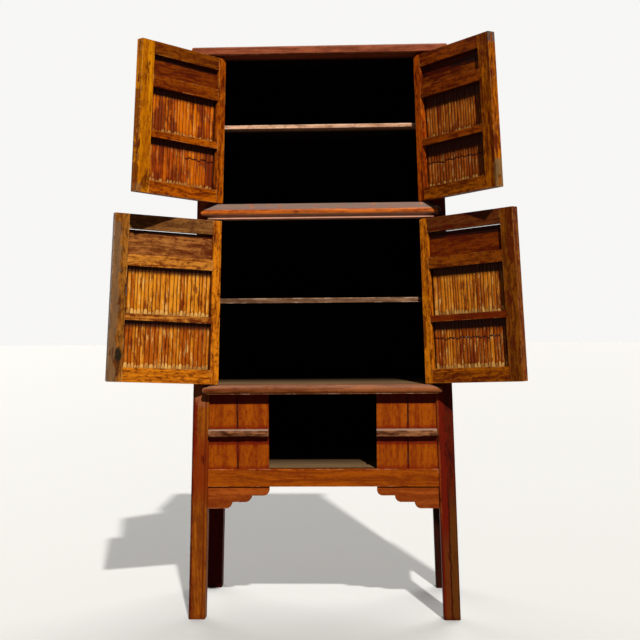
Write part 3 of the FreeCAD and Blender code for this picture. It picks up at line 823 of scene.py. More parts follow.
class WoodShop:
    """Makes one material for each finish, grain and body, and keeps it for the next piece."""

    pale_lift = 1.05
    deep_drop = 0.88
    drift_share = 0.35
    stain_share = 0.8
    smoothing = 0.05
    fibre_rough = 0.12
    dull_rough = 0.35
    relief = 0.35
    relief_depth = 0.0008
    lacquer_rough = 0.3

    def __init__(self, effects: Effects, carcass: Carcass) -> None:
        """Keep what every material needs.

        Args:
            effects: The node groups of age marks.
            carcass: The planes that patches are measured from.
        """
        self.effects = effects
        self.carcass = carcass
        self.made: dict[str, bpy.types.Material] = {}

    def material(self, finish: WoodFinish, grain: Grain, place: str = "carcass",
                 shut: Matrix | None = None) -> bpy.types.Material:
        """A worn wood material.

        Args:
            finish: Colours and wear.
            grain: Which way the fibres run.
            place: The body that it is for.
            shut: Turns a door's piece back to its closed place.

        Returns:
            The material, made on first use.
        """
        name = f"{finish.name}_{grain.value}_{place}"
        if name not in self.made:
            self.made[name] = self.build(name, finish, grain.turn().to_euler("XYZ"), shut)
        return self.made[name]

    def build(self, name: str, finish: WoodFinish, turn: Euler, shut: Matrix | None) -> bpy.types.Material:
        """Lay the nodes of one wood material.

        Args:
            name: The material's name.
            finish: Colours and wear.
            turn: Rotation that brings the fibres to Z.
            shut: Turns a door's piece back to its closed place.

        Returns:
            The new material.
        """
        material, graph = new_material(name)
        place = graph.place()
        if shut:
            place = graph.moved(place, shut.to_euler("XYZ"), shut.translation)
        along = graph.moved(place, turn, (0.0, 0.0, 0.0))
        figure = graph.use(self.effects.figure, Vector=along, Coarse=finish.coarse)
        stain = graph.use(self.effects.stain, Vector=along, Share=finish.stained)
        colour = self.wood(graph, finish, place, figure, stain)
        for patch in finish.patches:
            across = self.inset(graph, place, shut is not None or patch.upright)
            colour = graph.over(colour, patch.colour, patch.mask(graph, place, across))
        colour, dull = self.aged(graph, finish, place, stain, colour)
        rough = graph.plus(finish.roughness - self.smoothing, graph.times(figure["Fibre"], self.fibre_rough))
        rough = graph.plus(rough, graph.times(dull, self.dull_rough), clamp=True)
        shader = graph.surface(colour, rough, figure["Height"], self.relief, self.relief_depth)
        shader.inputs["Coat Weight"].default_value = finish.lacquer
        shader.inputs["Coat Roughness"].default_value = self.lacquer_rough
        shader.inputs["Specular IOR Level"].default_value = finish.gloss
        return material

    def wood(self, graph: Graph, finish: WoodFinish, place: Socket, figure: bpy.types.NodeOutputs,
             stain: bpy.types.NodeOutputs) -> Socket:
        """The wood under its wear: figure, slow drift, flecks and a mottled patina.

        Args:
            graph: The material's graph.
            finish: Colours and wear.
            place: Coordinates of the closed piece.
            figure: The wood's figure.
            stain: The old lacquer.

        Returns:
            The colour's socket.
        """
        pale, deep = shaded(finish.pale, self.pale_lift), shaded(finish.deep, self.deep_drop)
        drift = graph.use(self.effects.drift, Vector=place)
        colour = graph.mix(figure["Figure"], pale, deep)
        colour = graph.over(colour, finish.deep, drift["Drift"], self.drift_share)
        colour = graph.over(colour, finish.stain, graph.between(figure["Fibre"], 0.5, 0.8), finish.flecked)
        colour = graph.over(colour, finish.stain, stain["Mottle"], finish.mottled)
        return graph.over(colour, pale, stain["Faded"], finish.mottled)

    def aged(self, graph: Graph, finish: WoodFinish, place: Socket, stain: bpy.types.NodeOutputs,
             colour: Socket) -> tuple[Socket, Socket]:
        """Lay the marks of age, with painted shade in crevices and inside the carcass, over a colour.

        Args:
            graph: The material's graph.
            finish: Colours and wear.
            place: Coordinates of the closed piece.
            stain: The old lacquer.
            colour: What the marks lie on.

        Returns:
            The new colour, and where dust, or the soot and painted shade, make it dull.
        """
        rub = graph.use(self.effects.rub, Vector=place, Wear=finish.wear, Keep=finish.kept)
        grime = graph.use(self.effects.grime, Vector=place, Depth=finish.grime)
        dust = graph.use(self.effects.dust, Vector=place, Amount=finish.dusty)
        dark = graph.most(graph.times(stain["Stain"], self.stain_share), stain["Marks"])
        colour = graph.over(colour, finish.stain, dark)
        colour = graph.over(colour, finish.stain, rub["Kept"])
        colour = graph.over(colour, finish.bare, rub["Rubbed"])
        if finish.knot:
            colour = graph.over(colour, finish.knot.colour, finish.knot.mask(graph, place))
        # Dirt and painted shade where pieces meet, in the stain colour.
        colour = graph.over(colour, finish.stain, grime["Grime"])
        colour = graph.over(colour, finish.dust, dust["Dust"])
        if not finish.soot_reach:
            return colour, dust["Dust"]
        # Soot and painted shade inside the carcass, near black.
        soot = graph.use(self.effects.soot, Vector=place, Reach=finish.soot_reach)
        return graph.over(colour, finish.soot, soot["Soot"]), graph.most(dust["Dust"], soot["Soot"])

    def inset(self, graph: Graph, place: Socket, from_middle: bool) -> Socket:
        """How far a point lies from the edge that a strip is measured from.

        Args:
            graph: The material's graph.
            place: Coordinates of the closed piece.
            from_middle: Measure from the middle plane, not from the carcass's outer faces.

        Returns:
            The distance's socket.
        """
        x, _, z = graph.parts(place)
        if from_middle:
            return graph.math("ABSOLUTE", x)
        return self.carcass.inset(graph, x, z)


class Mark(Enum):
    """What the mesh of a cane notes, for its material to read."""

    TONE = "cane_tone"
    RING = "cane_ring"
    CUT = "cane_cut"
    HEAD = "cane_head"
    SIDE = "cane_side"

    @property
    def domain(self) -> str:
        """Whether it is noted by face or by point."""
        return "FACE" if self is Mark.CUT else "POINT"


@dataclass(frozen=True)
class CaneLook:
    """Colours of one door's bamboo."""

    gold: Colour
    brown: Colour
    stained: float
    cut_share: float
    shining: float = 0.6
    stain: Colour = paint(0.14, 0.015, 0.001)
    shine: Colour = paint(0.84, 0.50, 0.14)
    cut: Colour = paint(1.0, 0.58, 0.14)
    # Near black for painted shade on the canes' heads, also used for the growth rings.
    smoke_shade: Colour = paint(0.022, 0.003, 0.001)
    # Dark red for the gaps between canes and the painted shade on their sides.
    gap_shade: Colour = paint(0.07, 0.008, 0.001)
    uneven: float = 0.3
    dark_streaks: float = 0.6
    dirt: float = 0.85
    grime: float = 0.8
    head_shade: float = 0.95
    ring_smoke: float = 0.92
    gloss: float = 0.08
    relief: float = 0.3
    relief_depth: float = 0.0006

    def material(self, effects: Effects, name: str) -> bpy.types.Material:
        """Material of a row of canes, which reads the canes' own attributes.

        Args:
            effects: The shared effects.
            name: The material's name.

        Returns:
            The new material.
        """
        material, graph = new_material(name)
        place = graph.place()
        tone, ring, cut, head, side = (graph.attribute(mark.value) for mark in Mark)
        stripes = graph.drawn_out(place, across=260.0, along=7.0, detail=3.0, rough=0.6)
        blotch = graph.drawn_out(place, across=46.0, along=11.0, detail=5.0, rough=0.68)
        streak = graph.drawn_out(place, across=150.0, along=22.0, detail=5.0, rough=0.68)
        broad = graph.drawn_out(place, across=16.0, along=12.0, detail=4.0, rough=0.6)
        ripe = graph.weighed((stripes, 0.4), (broad, 0.6 - self.uneven), (tone, self.uneven))
        colour = graph.mix(graph.between(ripe, 0.34, 0.64), self.gold, self.brown)
        colour = graph.over(colour, self.shine, graph.between(streak, 0.54, 0.64), self.shining)
        colour = graph.over(colour, self.stain, graph.between(streak, 0.45, 0.36), self.dark_streaks)
        limit = 0.66 - 0.2 * self.stained
        dirty = graph.between(graph.weighed((blotch, 0.65), (broad, 0.35)), limit - 0.02, limit + 0.06)
        colour = graph.over(colour, self.stain, dirty, self.dirt)
        grime = graph.use(effects.grime, Vector=place, Depth=self.grime)
        # Dirt and painted shade where canes meet the rails.
        colour = graph.over(colour, self.stain, grime["Grime"])
        # Painted shade: near black over the canes' heads under the rail, and all along the canes beside the
        # stiles.
        colour = graph.over(colour, self.smoke_shade, head, self.head_shade)
        colour = graph.over(colour, self.smoke_shade, graph.between(ring, 0.1, 0.6), self.ring_smoke)
        # Painted shade, with dark gaps: each cane's sides go dark towards its neighbours.
        wide = graph.plus(side, graph.times(graph.minus(streak, 0.5), 1.2))
        parted = graph.plus(0.45, graph.times(graph.between(broad, 0.42, 0.6), 0.5))
        colour = graph.over(colour, self.gap_shade, graph.times(graph.between(wide, 0.45, 0.9), parted))
        colour = graph.over(colour, self.cut, cut, self.cut_share)
        rough = graph.plus(0.36, graph.times(blotch, 0.25))
        shader = graph.surface(colour, rough, stripes, self.relief, self.relief_depth)
        shader.inputs["Specular IOR Level"].default_value = self.gloss
        return material


def deselect() -> None:
    """Leave nothing selected, so that an operator acts on the new piece alone."""
    bpy.ops.object.select_all(action="DESELECT")


def coat(piece: bpy.types.Object, material: bpy.types.Material) -> None:
    """Give a piece one material."""
    piece.data.materials.clear()
    piece.data.materials.append(material)


def soften(node: bpy.types.Object, width: float = 0.0012) -> None:
    """Break the sharp arrises of a CAD node with live modifiers.

    Args:
        node: The CAD node's object.
        width: Width of the broken arris.
    """
    weld = node.modifiers.new("weld", "WELD")
    weld.merge_threshold = SAME_POINT
    flat = node.modifiers.new("flat", "DECIMATE")
    flat.decimate_type = "DISSOLVE"
    flat.angle_limit = SAME_PLANE
    arris = node.modifiers.new("arris", "BEVEL")
    arris.width = width
    arris.segments = 2
    arris.limit_method = "ANGLE"
    arris.angle_limit = math.radians(40)
    arris.harden_normals = False


@dataclass(frozen=True)
class CanePattern:
    """One cane, modelled at the origin and copied along the rows."""

    tall: float
    rise: float
    ring: float | None
    smoke_shade: float
    radius: float = 0.006
    corner: float = 0.0039
    foot: float = 0.024
    waist: float = 0.45
    slim: float = 0.97
    neck: float = 0.84
    collar: float = 0.98
    ring_half: float = 0.004
    pared: float = 0.0062
    rim: float = 0.0009

    def stations(self) -> list[Span]:
        """Plan the cane's rings of points.

        Returns:
            Heights along the cane, each with its share of the radius.
        """
        rows = [(0.0, 1.0), (self.foot, 1.0), (self.waist * self.tall, self.slim),
                (self.tall - self.smoke_shade, 1.0), (self.tall - 0.6 * self.smoke_shade, 1.0), (self.tall, 1.0)]
        if self.ring is not None:
            rows += [(self.ring - 2.0 * self.ring_half, self.slim), (self.ring - self.ring_half, self.neck),
                     (self.ring, 1.0), (self.ring + 1.6 * self.ring_half, self.collar)]
        return sorted(rows)

    def build(self) -> bpy.types.Object:
        """Round a square's corners, draw it up ring by ring, and pare its foot to a slant.

        Returns:
            The pattern's object, deleted once its copies are made.
        """
        rows = self.stations()
        deselect()
        bpy.ops.mesh.primitive_plane_add(size=2.0 * self.radius)
        made = bpy.context.object
        bpy.ops.object.mode_set(mode="EDIT")
        bpy.ops.mesh.select_all(action="SELECT")
        bpy.ops.mesh.bevel(offset=self.corner, offset_type="OFFSET", segments=2, profile=0.5,
                           affect="VERTICES")
        bpy.ops.mesh.select_all(action="SELECT")
        for (z0, share0), (z1, share1) in zip(rows, rows[1:]):
            bpy.ops.mesh.extrude_region_move(TRANSFORM_OT_translate={"value": (0.0, 0.0, z1 - z0)})
            step = share1 / share0
            bpy.ops.transform.resize(value=(step, step, 1.0), center_override=(0.0, 0.0, z1))
        bpy.ops.mesh.select_all(action="SELECT")
        slope = Vector((0.0, -self.rise, self.pared)).normalized()
        bpy.ops.mesh.bisect(plane_co=(0.0, self.radius, self.rise), plane_no=slope, use_fill=True,
                            clear_inner=True, threshold=1e-6)
        bpy.ops.mesh.inset(thickness=self.rim, depth=0.0)
        bpy.ops.mesh.select_all(action="SELECT")
        bpy.ops.mesh.normals_make_consistent(inside=False)
        bpy.ops.object.mode_set(mode="OBJECT")
        self.mark(made.data)
        return made

    def mark(self, mesh: bpy.types.Mesh) -> None:
        """Note on the mesh where the pared foot, the ring, the head under painted shade and the sides are.

        Args:
            mesh: The pattern's mesh.
        """
        for mark in Mark:
            mesh.attributes.new(mark.value, "FLOAT", mark.domain)
        _, ring, cut, head, side = (mesh.attributes[mark.value].data for mark in Mark)
        for i, face in enumerate(mesh.polygons):
            foot = face.normal.y > 0.4 and face.normal.z < -0.1 and face.center.z < self.rise
            cut[i].value = float(foot and len(face.vertices) > 4)
        for i, vertex in enumerate(mesh.vertices):
            ringed = self.ring is not None and abs(vertex.co.z - self.ring + self.ring_half) < SAME_LEVEL
            ring[i].value = float(ringed)
            # Painted shade on the cane's head, under the rail above it.
            head[i].value = float(vertex.co.z > self.tall - 0.7 * self.smoke_shade)
            side[i].value = (vertex.co.x / self.radius) ** 2


@dataclass
class CaneRow:
    """One bay of canes in a door's closed place."""

    low: Vector
    high: Vector
    seed: int
    rises: tuple[float, ...]
    smoke_shade: float
    ring_span: Span
    ring_rise: float
    lift: float
    body: float
    aged: float
    spacing: float = 0.0118
    spread: Span = (0.68, 1.32)
    end_share: float = 0.5
    end_sink: float = 0.4
    ring_zone: float = 0.06
    ring_slip: float = 0.004
    pale_cuts: tuple[float, ...] = (0.4, 0.7, 0.9, 1.0)
    snug: float = 0.998
    body_spread: float = 0.09
    stagger: Span = (-0.08, 0.06)

    @property
    def wide(self) -> float:
        """Width of the bay."""
        return self.high.x - self.low.x

    @property
    def tall(self) -> float:
        """Height of the bay."""
        return self.high.z - self.low.z

    def patterns(self, ring: float | None) -> list[bpy.types.Object]:
        """One pattern for each slant of the foot."""
        return [CanePattern(self.tall, rise, ring, self.smoke_shade).build() for rise in self.rises]

    def widths(self, draw: random.Random) -> list[float]:
        """Share the bay out among its canes.

        Args:
            draw: Source of random numbers.

        Returns:
            How wide each cane is.
        """
        count = max(1, round(self.wide / self.spacing))
        rough = [draw.uniform(*self.spread) for _ in range(count)]
        rough[0] = rough[-1] = self.end_share
        fit = self.wide / sum(rough)
        return [width * fit for width in rough]

    def place(self, pattern: bpy.types.Object, x: float, width: float, draw: random.Random,
              at_end: bool) -> bpy.types.Object:
        """Copy a pattern to its place in the row.

        Args:
            pattern: The cane to copy.
            x: Middle of the copy.
            width: Room that it has in the row.
            draw: Source of random numbers.
            at_end: Whether it stands beside a stile, where it gets painted shade.

        Returns:
            The copy, with its own mesh.
        """
        made = pattern.copy()
        made.data = pattern.data.copy()
        bpy.context.scene.collection.objects.link(made)
        mesh = made.data
        slip = draw.uniform(-self.ring_slip, self.ring_slip)
        tone = draw.uniform(0.0, 1.0) + self.aged
        ring_low = (self.ring_rise - self.ring_zone) * self.tall
        ring_high = (self.ring_rise + self.ring_zone) * self.tall
        for i, vertex in enumerate(mesh.vertices):
            mesh.attributes[Mark.TONE.value].data[i].value = tone
            # Painted shade: a cane beside a stile is dark all along, as in a shadow gap.
            if at_end:
                mesh.attributes[Mark.HEAD.value].data[i].value = 1.0
            if ring_low < vertex.co.z < ring_high:
                vertex.co.z += slip
        pale = 0.0 if at_end else draw.choice(self.pale_cuts)
        for value in mesh.attributes[Mark.CUT.value].data:
            value.value *= pale
        reach = (self.high.y - self.low.y) / 2
        across = width / 2 * self.snug / CanePattern.radius
        deep = reach * (self.body + draw.uniform(-self.body_spread, self.body_spread)) / CanePattern.radius
        sunk = draw.uniform(*self.stagger) - self.end_sink * at_end
        y = (self.low.y + self.high.y) / 2 + self.lift + sunk * reach
        mesh.transform(Matrix.Translation((x, y, self.low.z)) @ Matrix.Diagonal((across, deep, 1.0, 1.0)))
        return made

    def build(self) -> list[bpy.types.Object]:
        """Fill the bay with canes, some with a growth ring.

        Returns:
            The canes.
        """
        draw = random.Random(self.seed)
        plain = self.patterns(None)
        ringed = self.patterns(self.ring_rise * self.tall)
        canes = []
        x = self.low.x
        widths = self.widths(draw)
        for i, width in enumerate(widths):
            along = (x + width / 2 - self.low.x) / self.wide
            kind = ringed if self.ring_span[0] < along < self.ring_span[1] else plain
            at_end = i in (0, len(widths) - 1)
            canes.append(self.place(draw.choice(kind), x + width / 2, width, draw, at_end))
            x += width
        for pattern in plain + ringed:
            bpy.data.objects.remove(pattern)
        return canes


@dataclass
class Door:
    """One door: its swing, its wood and its canes."""

    name: str
    stile: WoodFinish
    hinge_stile: WoodFinish
    top_rail: WoodFinish
    cross_rails: WoodFinish
    bottom_rail: WoodFinish
    frieze: WoodFinish
    canes: CaneLook
    seed: int
    ring_span: Span = NO_RING
    ring_rise: float = 0.7
    knot: Knot | None = None
    cane_lift: float = 0.0035
    cane_body: float = 0.83
    cane_rises: tuple[float, ...] = (0.011, 0.015, 0.019)
    # How far the painted shade runs down each cane's head below the rail.
    cane_shade: float = 0.016
    lower_aged: float = 0.25
    upper_aged: float = -0.1
    # Painted shadow below the top rail: how far it reaches down the frieze panel and the canes, and its
    # near-black colour.
    shade_drop: float = 0.012
    smoke_shade: Patch = Patch(paint(0.012, 0.002, 0.001), 0.95, ragged=0.002, fade=0.003)
    opened: Matrix = field(init=False)

    def __post_init__(self) -> None:
        """Work out how the door's closed place turns to the place that it stands in."""
        joint = next(j for j in frame["joints"] if j["child"] == self.body)
        pivot = Vector(joint["pos_m"])
        angle = math.radians(-joint["range_deg"][0])
        turn = Matrix.Rotation(angle, 4, Vector(joint["axis"]))
        self.opened = Matrix.Translation(pivot) @ turn @ Matrix.Translation(-pivot)

    @property
    def body(self) -> str:
        """The body that the door's pieces ride on."""
        return f"{self.name}_door"

    @property
    def shut(self) -> Matrix:
        """Turns the open door back to its closed place."""
        return self.opened.inverted()

    def closed_points(self, piece: str) -> list[Vector]:
        """The corners of one of the door's CAD pieces, with the door shut."""
        return [self.shut @ v.co for v in frame["nodes"][f"{self.name}_{piece}"].data.vertices]

    def bays(self) -> list[tuple[Vector, Vector]]:
        """Measure the bays of canes, with the door shut.

        Returns:
            Lowest and highest corner of each bay, from the bottom up.
        """
        points = self.closed_points("bamboo")
        levels = sorted({round(p.z, 4) for p in points})
        found = []
        for low, high in zip(levels[::2], levels[1::2]):
            inside = [p for p in points if low - SAME_BAY < p.z < high + SAME_BAY]
            found.append((Vector(map(min, *inside)), Vector(map(max, *inside))))
        return found

    def dress_wood(self, shop: WoodShop) -> None:
        """Give every wooden CAD piece of the door its material.

        Args:
            shop: The wood materials.
        """
        free_stile = self.stile
        if self.knot:
            free_stile = replace(self.stile, name=f"{self.stile.name}_knot", knot=self.knot)
        # Painted shadow: a near-black band on the frieze panel, reaching down below the top rail.
        roof = min(p.z for p in self.closed_points("top_rail"))
        smoke_shade = replace(self.smoke_shade, level=(roof - self.shade_drop, PAST_TOP))
        frieze = replace(self.frieze, patches=(smoke_shade,))
        coats = {"pivot_stile": (self.hinge_stile, Grain.UP), "meeting_stile": (free_stile, Grain.UP),
                 "top_rail": (self.top_rail, Grain.ACROSS), "bottom_rail": (self.bottom_rail, Grain.ACROSS),
                 "cross_rails": (self.cross_rails, Grain.ACROSS), "frieze_panel": (frieze, Grain.ACROSS)}
        for piece, (finish, grain) in coats.items():
            node = frame["nodes"][f"{self.name}_{piece}"]
            coat(node, shop.material(finish, grain, self.name, self.shut))
            soften(node)

    def build_canes(self, effects: Effects) -> bpy.types.Object:
        """Model the canes of both bays as one piece that stands for the CAD rows.

        Args:
            effects: The shared effects.

        Returns:
            The finished piece.
        """
        canes = []
        for level, (low, high) in enumerate(self.bays()):
            lowest = level == 0
            row = CaneRow(low, high, self.seed + level, rises=self.cane_rises,
                          smoke_shade=self.cane_shade + self.shade_drop, ring_rise=self.ring_rise,
                          ring_span=self.ring_span if lowest else NO_RING, lift=self.cane_lift,
                          body=self.cane_body, aged=self.lower_aged if lowest else self.upper_aged)
            canes += row.build()
        deselect()
        for cane in canes:
            cane.select_set(True)
        bpy.context.view_layer.objects.active = canes[0]
        bpy.ops.object.join()
        made = bpy.context.object
        made.name = f"{self.name}_canes"
        made.data.name = made.name
        made.data.transform(self.opened)
        bpy.ops.object.shade_smooth_by_angle(angle=math.radians(50))
        coat(made, self.canes.material(effects, f"bamboo_{self.name}"))
        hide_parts(f"{self.name}_bamboo")
        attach(made, self.body)
        return made


@dataclass
class Batten:
    """A chipped bar across a lower panel, which stands for the plain CAD bar."""

    name: str
    seed: int
    cuts: int = 30
    chip: float = 0.004
    arris: float = 0.0075
    proud: float = 0.007
    waves_per_m: float = 45.0
    knocks_per_m: float = 160.0

    def build(self, shop: WoodShop) -> bpy.types.Object:
        """Cut a copy of the bar into short lengths and knock its front arrises about.

        Args:
            shop: The wood materials.

        Returns:
            The finished bar.
        """
        source = frame["nodes"][self.name]
        low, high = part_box(self.name)
        made = bpy.data.objects.new(f"{self.name}_chipped", source.data.copy())
        bpy.context.scene.collection.objects.link(made)
        deselect()
        made.select_set(True)
        bpy.context.view_layer.objects.active = made
        bpy.ops.object.mode_set(mode="EDIT")
        bpy.ops.mesh.select_all(action="SELECT")
        bpy.ops.mesh.remove_doubles(threshold=SAME_POINT)
        bpy.ops.mesh.dissolve_limited(angle_limit=SAME_PLANE)
        for i in range(1, self.cuts):
            bpy.ops.mesh.select_all(action="SELECT")
            x = low.x + (high.x - low.x) * i / self.cuts
            bpy.ops.mesh.bisect(plane_co=(x, 0.0, 0.0), plane_no=(1.0, 0.0, 0.0))
        bpy.ops.object.mode_set(mode="OBJECT")
        self.knock(made.data, low, high)
        bpy.ops.object.shade_smooth_by_angle(angle=math.radians(28))
        coat(made, shop.material(Finishes.weathered, Grain.ACROSS))
        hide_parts(self.name)
        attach(made, "carcass")
        return made

    def knock(self, mesh: bpy.types.Mesh, low: Vector, high: Vector) -> None:
        """Bring the front of the bar forward and chip its two front arrises.

        Args:
            mesh: The bar's mesh.
            low: Its lowest corner.
            high: Its highest corner.
        """
        middle = (low.z + high.z) / 2
        half = (high.z - low.z) / 2
        for vertex in mesh.vertices:
            near_front = max(0.0, 1.0 - (vertex.co.y - low.y) / self.arris)
            if near_front <= 0.0:
                continue
            across = (vertex.co.z - middle) / half
            upper = across > 0
            wave = noise.noise(Vector((vertex.co.x * self.waves_per_m, self.seed + 3.0 * upper, 0.5)))
            knock = noise.noise(Vector((vertex.co.x * self.knocks_per_m, self.seed + 7.0 * upper, 1.5)))
            bite = self.chip * (0.25 + max(0.0, wave) * 0.9 + max(0.0, knock) * 0.6)
            vertex.co.y += bite * near_front * 0.5 - self.proud * min(1.0, 2.0 * near_front)
            vertex.co.z -= across * abs(across) * bite * near_front


@dataclass
class Body:
    """The fixed carcass: the finish and grain of each node, painted shade under its rail and bars, and the
    old lacquer kept in its corners.
    """

    bead: float = 0.008
    # Reach of the painted shadow of the upper right door over the ledge's right end.
    dark_end: float = 0.026
    waist_shade: float = 0.03
    batten_shade: float = 0.021
    sill_below: float = 0.01
    sill_above: float = 0.004
    seam: Span = (-0.002, 0.003)
    board_margin: float = 0.02

    def table(self) -> dict[str, tuple[WoodFinish, Grain]]:
        """Choose for every fixed node.

        Returns:
            Finish and grain by the node's name.
        """
        kinds = Finishes
        ledge = replace(kinds.ledge, patches=self.ledge_patches())
        panel = replace(kinds.panel, patches=self.panel_patches())
        rows: dict[str, tuple[WoodFinish, Grain]] = {
            "mid_ledge": (ledge, Grain.ACROSS), "waist_rail": (kinds.waist, Grain.ACROSS),
            "apron_rail": (kinds.apron, Grain.ACROSS), "back_rails": (kinds.backing, Grain.ACROSS),
            "back_panels": (kinds.backing, Grain.UP), "top_panel": (kinds.top, Grain.ACROSS),
            "shelf_cleats": (kinds.backing, Grain.DEEP), "top_front": (kinds.top, Grain.ACROSS),
            "top_rear": (kinds.top, Grain.ACROSS), "upper_floor": (kinds.floor, Grain.ACROSS),
            "middle_floor": (kinds.floor, Grain.ACROSS), "lower_floor": (kinds.floor, Grain.ACROSS),
            "upper_shelf": (kinds.shelf, Grain.ACROSS), "lower_shelf": (kinds.old_shelf, Grain.ACROSS)}
        posts = {"left": (kinds.red_post, kinds.rear_post), "right": (kinds.dark_post, kinds.rear_post_olive)}
        for hand, (front, rear) in posts.items():
            rows[f"top_{hand}"] = (kinds.top, Grain.DEEP)
            rows[f"side_rails_{hand}"] = (kinds.red, Grain.DEEP)
            rows[f"side_panels_{hand}"] = (kinds.red, Grain.UP)
            rows[f"tier_panel_{hand}"] = (panel, Grain.UP)
            rows[f"spandrel_{hand}"] = (kinds.bracket, Grain.ACROSS)
            rows[f"post_front_{hand}"] = (front, Grain.UP)
            rows[f"post_rear_{hand}"] = (rear, Grain.UP)
        return rows

    def ledge_patches(self) -> tuple[Patch, ...]:
        """Plan the ledge's marks.

        Returns:
            A bare bead along its foot, and the painted shadow of the open upper door on its right end.
        """
        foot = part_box("mid_ledge")[0].z
        bead = Patch(Finishes.ledge.bare, 0.9, level=(UNDER_FLOOR, foot + self.bead), ragged=0.002)
        # Painted shadow of the open upper right door, near black over the ledge's right end.
        door_shadow = Patch(Finishes.ledge.soot, 0.95, across=(PAST_EDGE, self.dark_end), right_only=True,
                      ragged=0.0)
        return (bead, door_shadow)

    def panel_patches(self) -> tuple[Patch, ...]:
        """Plan the lower panels' marks.

        Returns:
            Painted shade in dark red under the rail and under the bars, old red lacquer along the tops of the
            bar and the apron, and dirt in the joint between the boards.
        """
        bands = []
        for roof, reach in (("waist_rail", self.waist_shade), ("batten_left", self.batten_shade)):
            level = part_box(roof)[0].z
            # Painted shade: a dark red band under the waist rail, and one under the bars.
            bands.append(Patch(paint(0.10, 0.002, 0.001), ragged=0.001,
                               level=(level - reach, level + 0.1 * reach)))
        for sill in ("batten_left", "apron_rail"):
            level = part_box(sill)[1].z
            bands.append(Patch(paint(0.15, 0.010, 0.001), 0.7, ragged=0.016, fade=0.012,
                               level=(level - self.sill_below, level + self.sill_above)))
        low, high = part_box("tier_panel_right")
        edges = sorted({round(v.co.x, 4) for v in frame["nodes"]["tier_panel_right"].data.vertices})
        inner = [x for x in edges if low.x + self.board_margin < x < high.x - self.board_margin]
        joint = min(inner, key=lambda x: abs(x - (low.x + high.x) / 2))
        bands.append(Patch(paint(0.02, 0.001, 0.001), 0.9, upright=True, ragged=0.001, soft=0.001,
                           across=(joint + self.seam[0], joint + self.seam[1])))
        return tuple(bands)

    def dress(self, shop: WoodShop) -> None:
        """Give every fixed node its material.

        Args:
            shop: The wood materials.
        """
        for name, (finish, grain) in self.table().items():
            node = frame["nodes"][name]
            coat(node, shop.material(finish, grain))
            soften(node)
            LOG.info("%s: %s, grain %s", name, finish.name, grain.value)


@dataclass(frozen=True)
class Sun:
    """A lamp far off, round to the right of the front and up from the floor."""

    name: str
    right_deg: float
    up_deg: float
    strength: float
    soft_deg: float

    def add(self) -> None:
        """Put the lamp into the scene."""
        data = bpy.data.lights.new(self.name, "SUN")
        data.energy = self.strength
        data.angle = math.radians(self.soft_deg)
        made = bpy.data.objects.new(self.name, data)
        around, up = math.radians(self.right_deg), math.radians(self.up_deg)
        towards = Vector((math.sin(around) * math.cos(up), -math.cos(around) * math.cos(up), math.sin(up)))
        made.rotation_euler = towards.to_track_quat("Z", "Y").to_euler()
        bpy.context.scene.collection.objects.link(made)


@dataclass
class Studio:
    """Plain pale floor, soft light and the camera."""

    camera_place: Vector = field(default_factory=lambda: Vector((0.1542, -3.9227, 1.0049)))
    lens: float = 64.15
    sensor: float = 36.0
    look_down_deg: float = 0.51
    look_left_deg: float = 2.476
    roll_deg: float = 0.46
    suns: tuple[Sun, ...] = (Sun("key", 14.0, 41.0, strength=4.5, soft_deg=1.5),
                             Sun("rear", 155.0, 42.0, strength=2.0, soft_deg=40.0),
                             Sun("left", -150.0, 22.0, strength=1.6, soft_deg=40.0))
    sky: float = 0.02
    backdrop: float = 0.93
    backdrop_colour: Colour = paint(1.0, 0.995, 0.98)
    floor_half: float = 30.0
    floor_seen: Colour = paint(0.51, 0.497, 0.468)
    floor_bounce: Colour = paint(0.03, 0.028, 0.025)
    floor_rough: float = 0.85

    def build(self) -> None:
        """Set up the whole studio."""
        self.add_camera()
        for sun in self.suns:
            sun.add()
        self.add_sky()
        self.add_floor()

    def add_camera(self) -> None:
        """Camera at the photograph's viewing angle."""
        data = bpy.data.cameras.new("camera")
        data.lens = self.lens
        data.sensor_width = self.sensor
        made = bpy.data.objects.new("camera", data)
        turn = Matrix.Rotation(math.radians(self.look_left_deg), 4, "Z")
        tilt = Matrix.Rotation(math.radians(90.0 - self.look_down_deg), 4, "X")
        roll = Matrix.Rotation(math.radians(-self.roll_deg), 4, "Z")
        made.matrix_world = Matrix.Translation(self.camera_place) @ turn @ tilt @ roll
        bpy.context.scene.collection.objects.link(made)
        bpy.context.scene.camera = made

    def add_sky(self) -> None:
        """Even light from all round, with a pale backdrop behind the object."""
        world = bpy.data.worlds.new("studio")
        bpy.context.scene.world = world
        world.use_nodes = True
        world.node_tree.nodes.clear()
        graph = Graph(world.node_tree)
        level = graph.plus(self.sky, graph.times(graph.seen(), self.backdrop - self.sky))
        light = graph.node("ShaderNodeBackground")
        graph.feed(light.inputs["Color"], self.backdrop_colour)
        graph.feed(light.inputs["Strength"], level)
        out = graph.node("ShaderNodeOutputWorld")
        graph.feed(out.inputs["Surface"], light.outputs[0])

    def add_floor(self) -> None:
        """Wide plain floor, pale where it is seen."""
        deselect()
        bpy.ops.mesh.primitive_plane_add(size=2 * self.floor_half)
        made = bpy.context.object
        made.name = "studio_floor"
        material = bpy.data.materials.new("pale_floor")
        material.use_nodes = True
        graph = Graph(material.node_tree)
        shader = material.node_tree.nodes["Principled BSDF"]
        graph.feed(shader.inputs["Base Color"], graph.mix(graph.seen(), self.floor_bounce, self.floor_seen))
        shader.inputs["Roughness"].default_value = self.floor_rough
        coat(made, material)


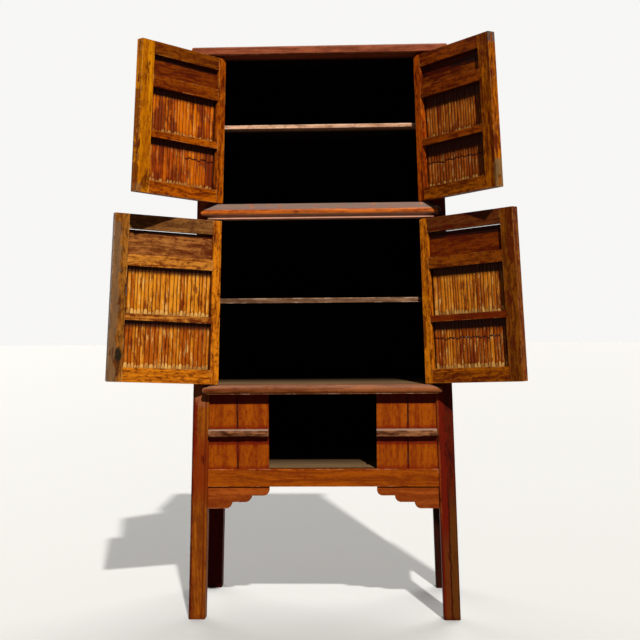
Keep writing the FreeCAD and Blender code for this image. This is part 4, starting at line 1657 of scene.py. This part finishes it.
def doors() -> list[Door]:
    """Choose each door's own tones.

    Returns:
        The four doors.
    """
    kinds = Finishes
    gold = CaneLook(gold=paint(0.68, 0.235, 0.010), brown=paint(0.36, 0.072, 0.001), stained=0.62,
                    cut_share=0.75)
    red = CaneLook(gold=paint(0.66, 0.150, 0.001), brown=paint(0.36, 0.050, 0.001), stained=0.8, shining=0.4,
                   cut_share=0.5)
    dim = CaneLook(gold=paint(0.38, 0.096, 0.005), brown=paint(0.21, 0.038, 0.001), stained=0.6, shining=0.4,
                   cut_share=0.8)
    honey = CaneLook(gold=paint(0.57, 0.180, 0.008), brown=paint(0.27, 0.050, 0.001), stained=0.65,
                     cut_share=0.8)
    deep_set = {"cane_lift": -0.0016, "cane_body": 0.6}
    small_cuts = {"cane_rises": (0.008, 0.011, 0.014)}
    return [Door("upper_left", stile=kinds.amber_edge, hinge_stile=kinds.russet, top_rail=kinds.browned,
                 cross_rails=kinds.russet_rails, bottom_rail=kinds.russet, frieze=kinds.frieze_dark,
                 canes=red, seed=11, ring_span=(0.0, 0.45), shade_drop=0.014, **deep_set, **small_cuts),
            Door("upper_right", stile=kinds.dusk_edge, hinge_stile=kinds.dusk_ruddy, top_rail=kinds.dusk_red,
                 cross_rails=kinds.dusk_red, bottom_rail=kinds.shaded_dusk, frieze=kinds.frieze_dusk, canes=dim,
                 seed=23, ring_span=(0.0, 1.0), ring_rise=0.58, shade_drop=0.034, **deep_set, **small_cuts),
            Door("lower_left", stile=kinds.greyed, hinge_stile=kinds.bright, top_rail=kinds.greyed_rail,
                 cross_rails=kinds.streaky, bottom_rail=kinds.bright, frieze=kinds.frieze_grey, canes=gold,
                 seed=37, knot=Knot((-0.0315, -0.241, 0.852))),
            Door("lower_right", stile=kinds.dusk_grey, hinge_stile=kinds.dusk_warm, top_rail=kinds.dusk_top,
                 cross_rails=kinds.dusk_rails, bottom_rail=kinds.shaded_dusk, frieze=kinds.frieze_dark, canes=honey,
                 seed=51, ring_span=(0.15, 1.0), ring_rise=0.65, shade_drop=0.022, **deep_set)]


def main() -> None:
    """Build and dress the cabinet piece by piece."""
    logging.basicConfig(level=logging.INFO, format="%(name)s: %(message)s")
    bpy.context.scene.view_settings.view_transform = "Standard"
    Studio().build()
    carcass = Carcass.from_frame()
    effects = Effects(carcass)
    shop = WoodShop(effects, carcass)
    Body().dress(shop)
    for batten in (Batten("batten_left", 3), Batten("batten_right", 8)):
        made = batten.build(shop)
        LOG.info("%s: %d faces", made.name, len(made.data.polygons))
    for door in doors():
        door.dress_wood(shop)
        canes = door.build_canes(effects)
        LOG.info("%s: %d faces of cane", canes.name, len(canes.data.polygons))


if __name__ == "__main__":
    main()
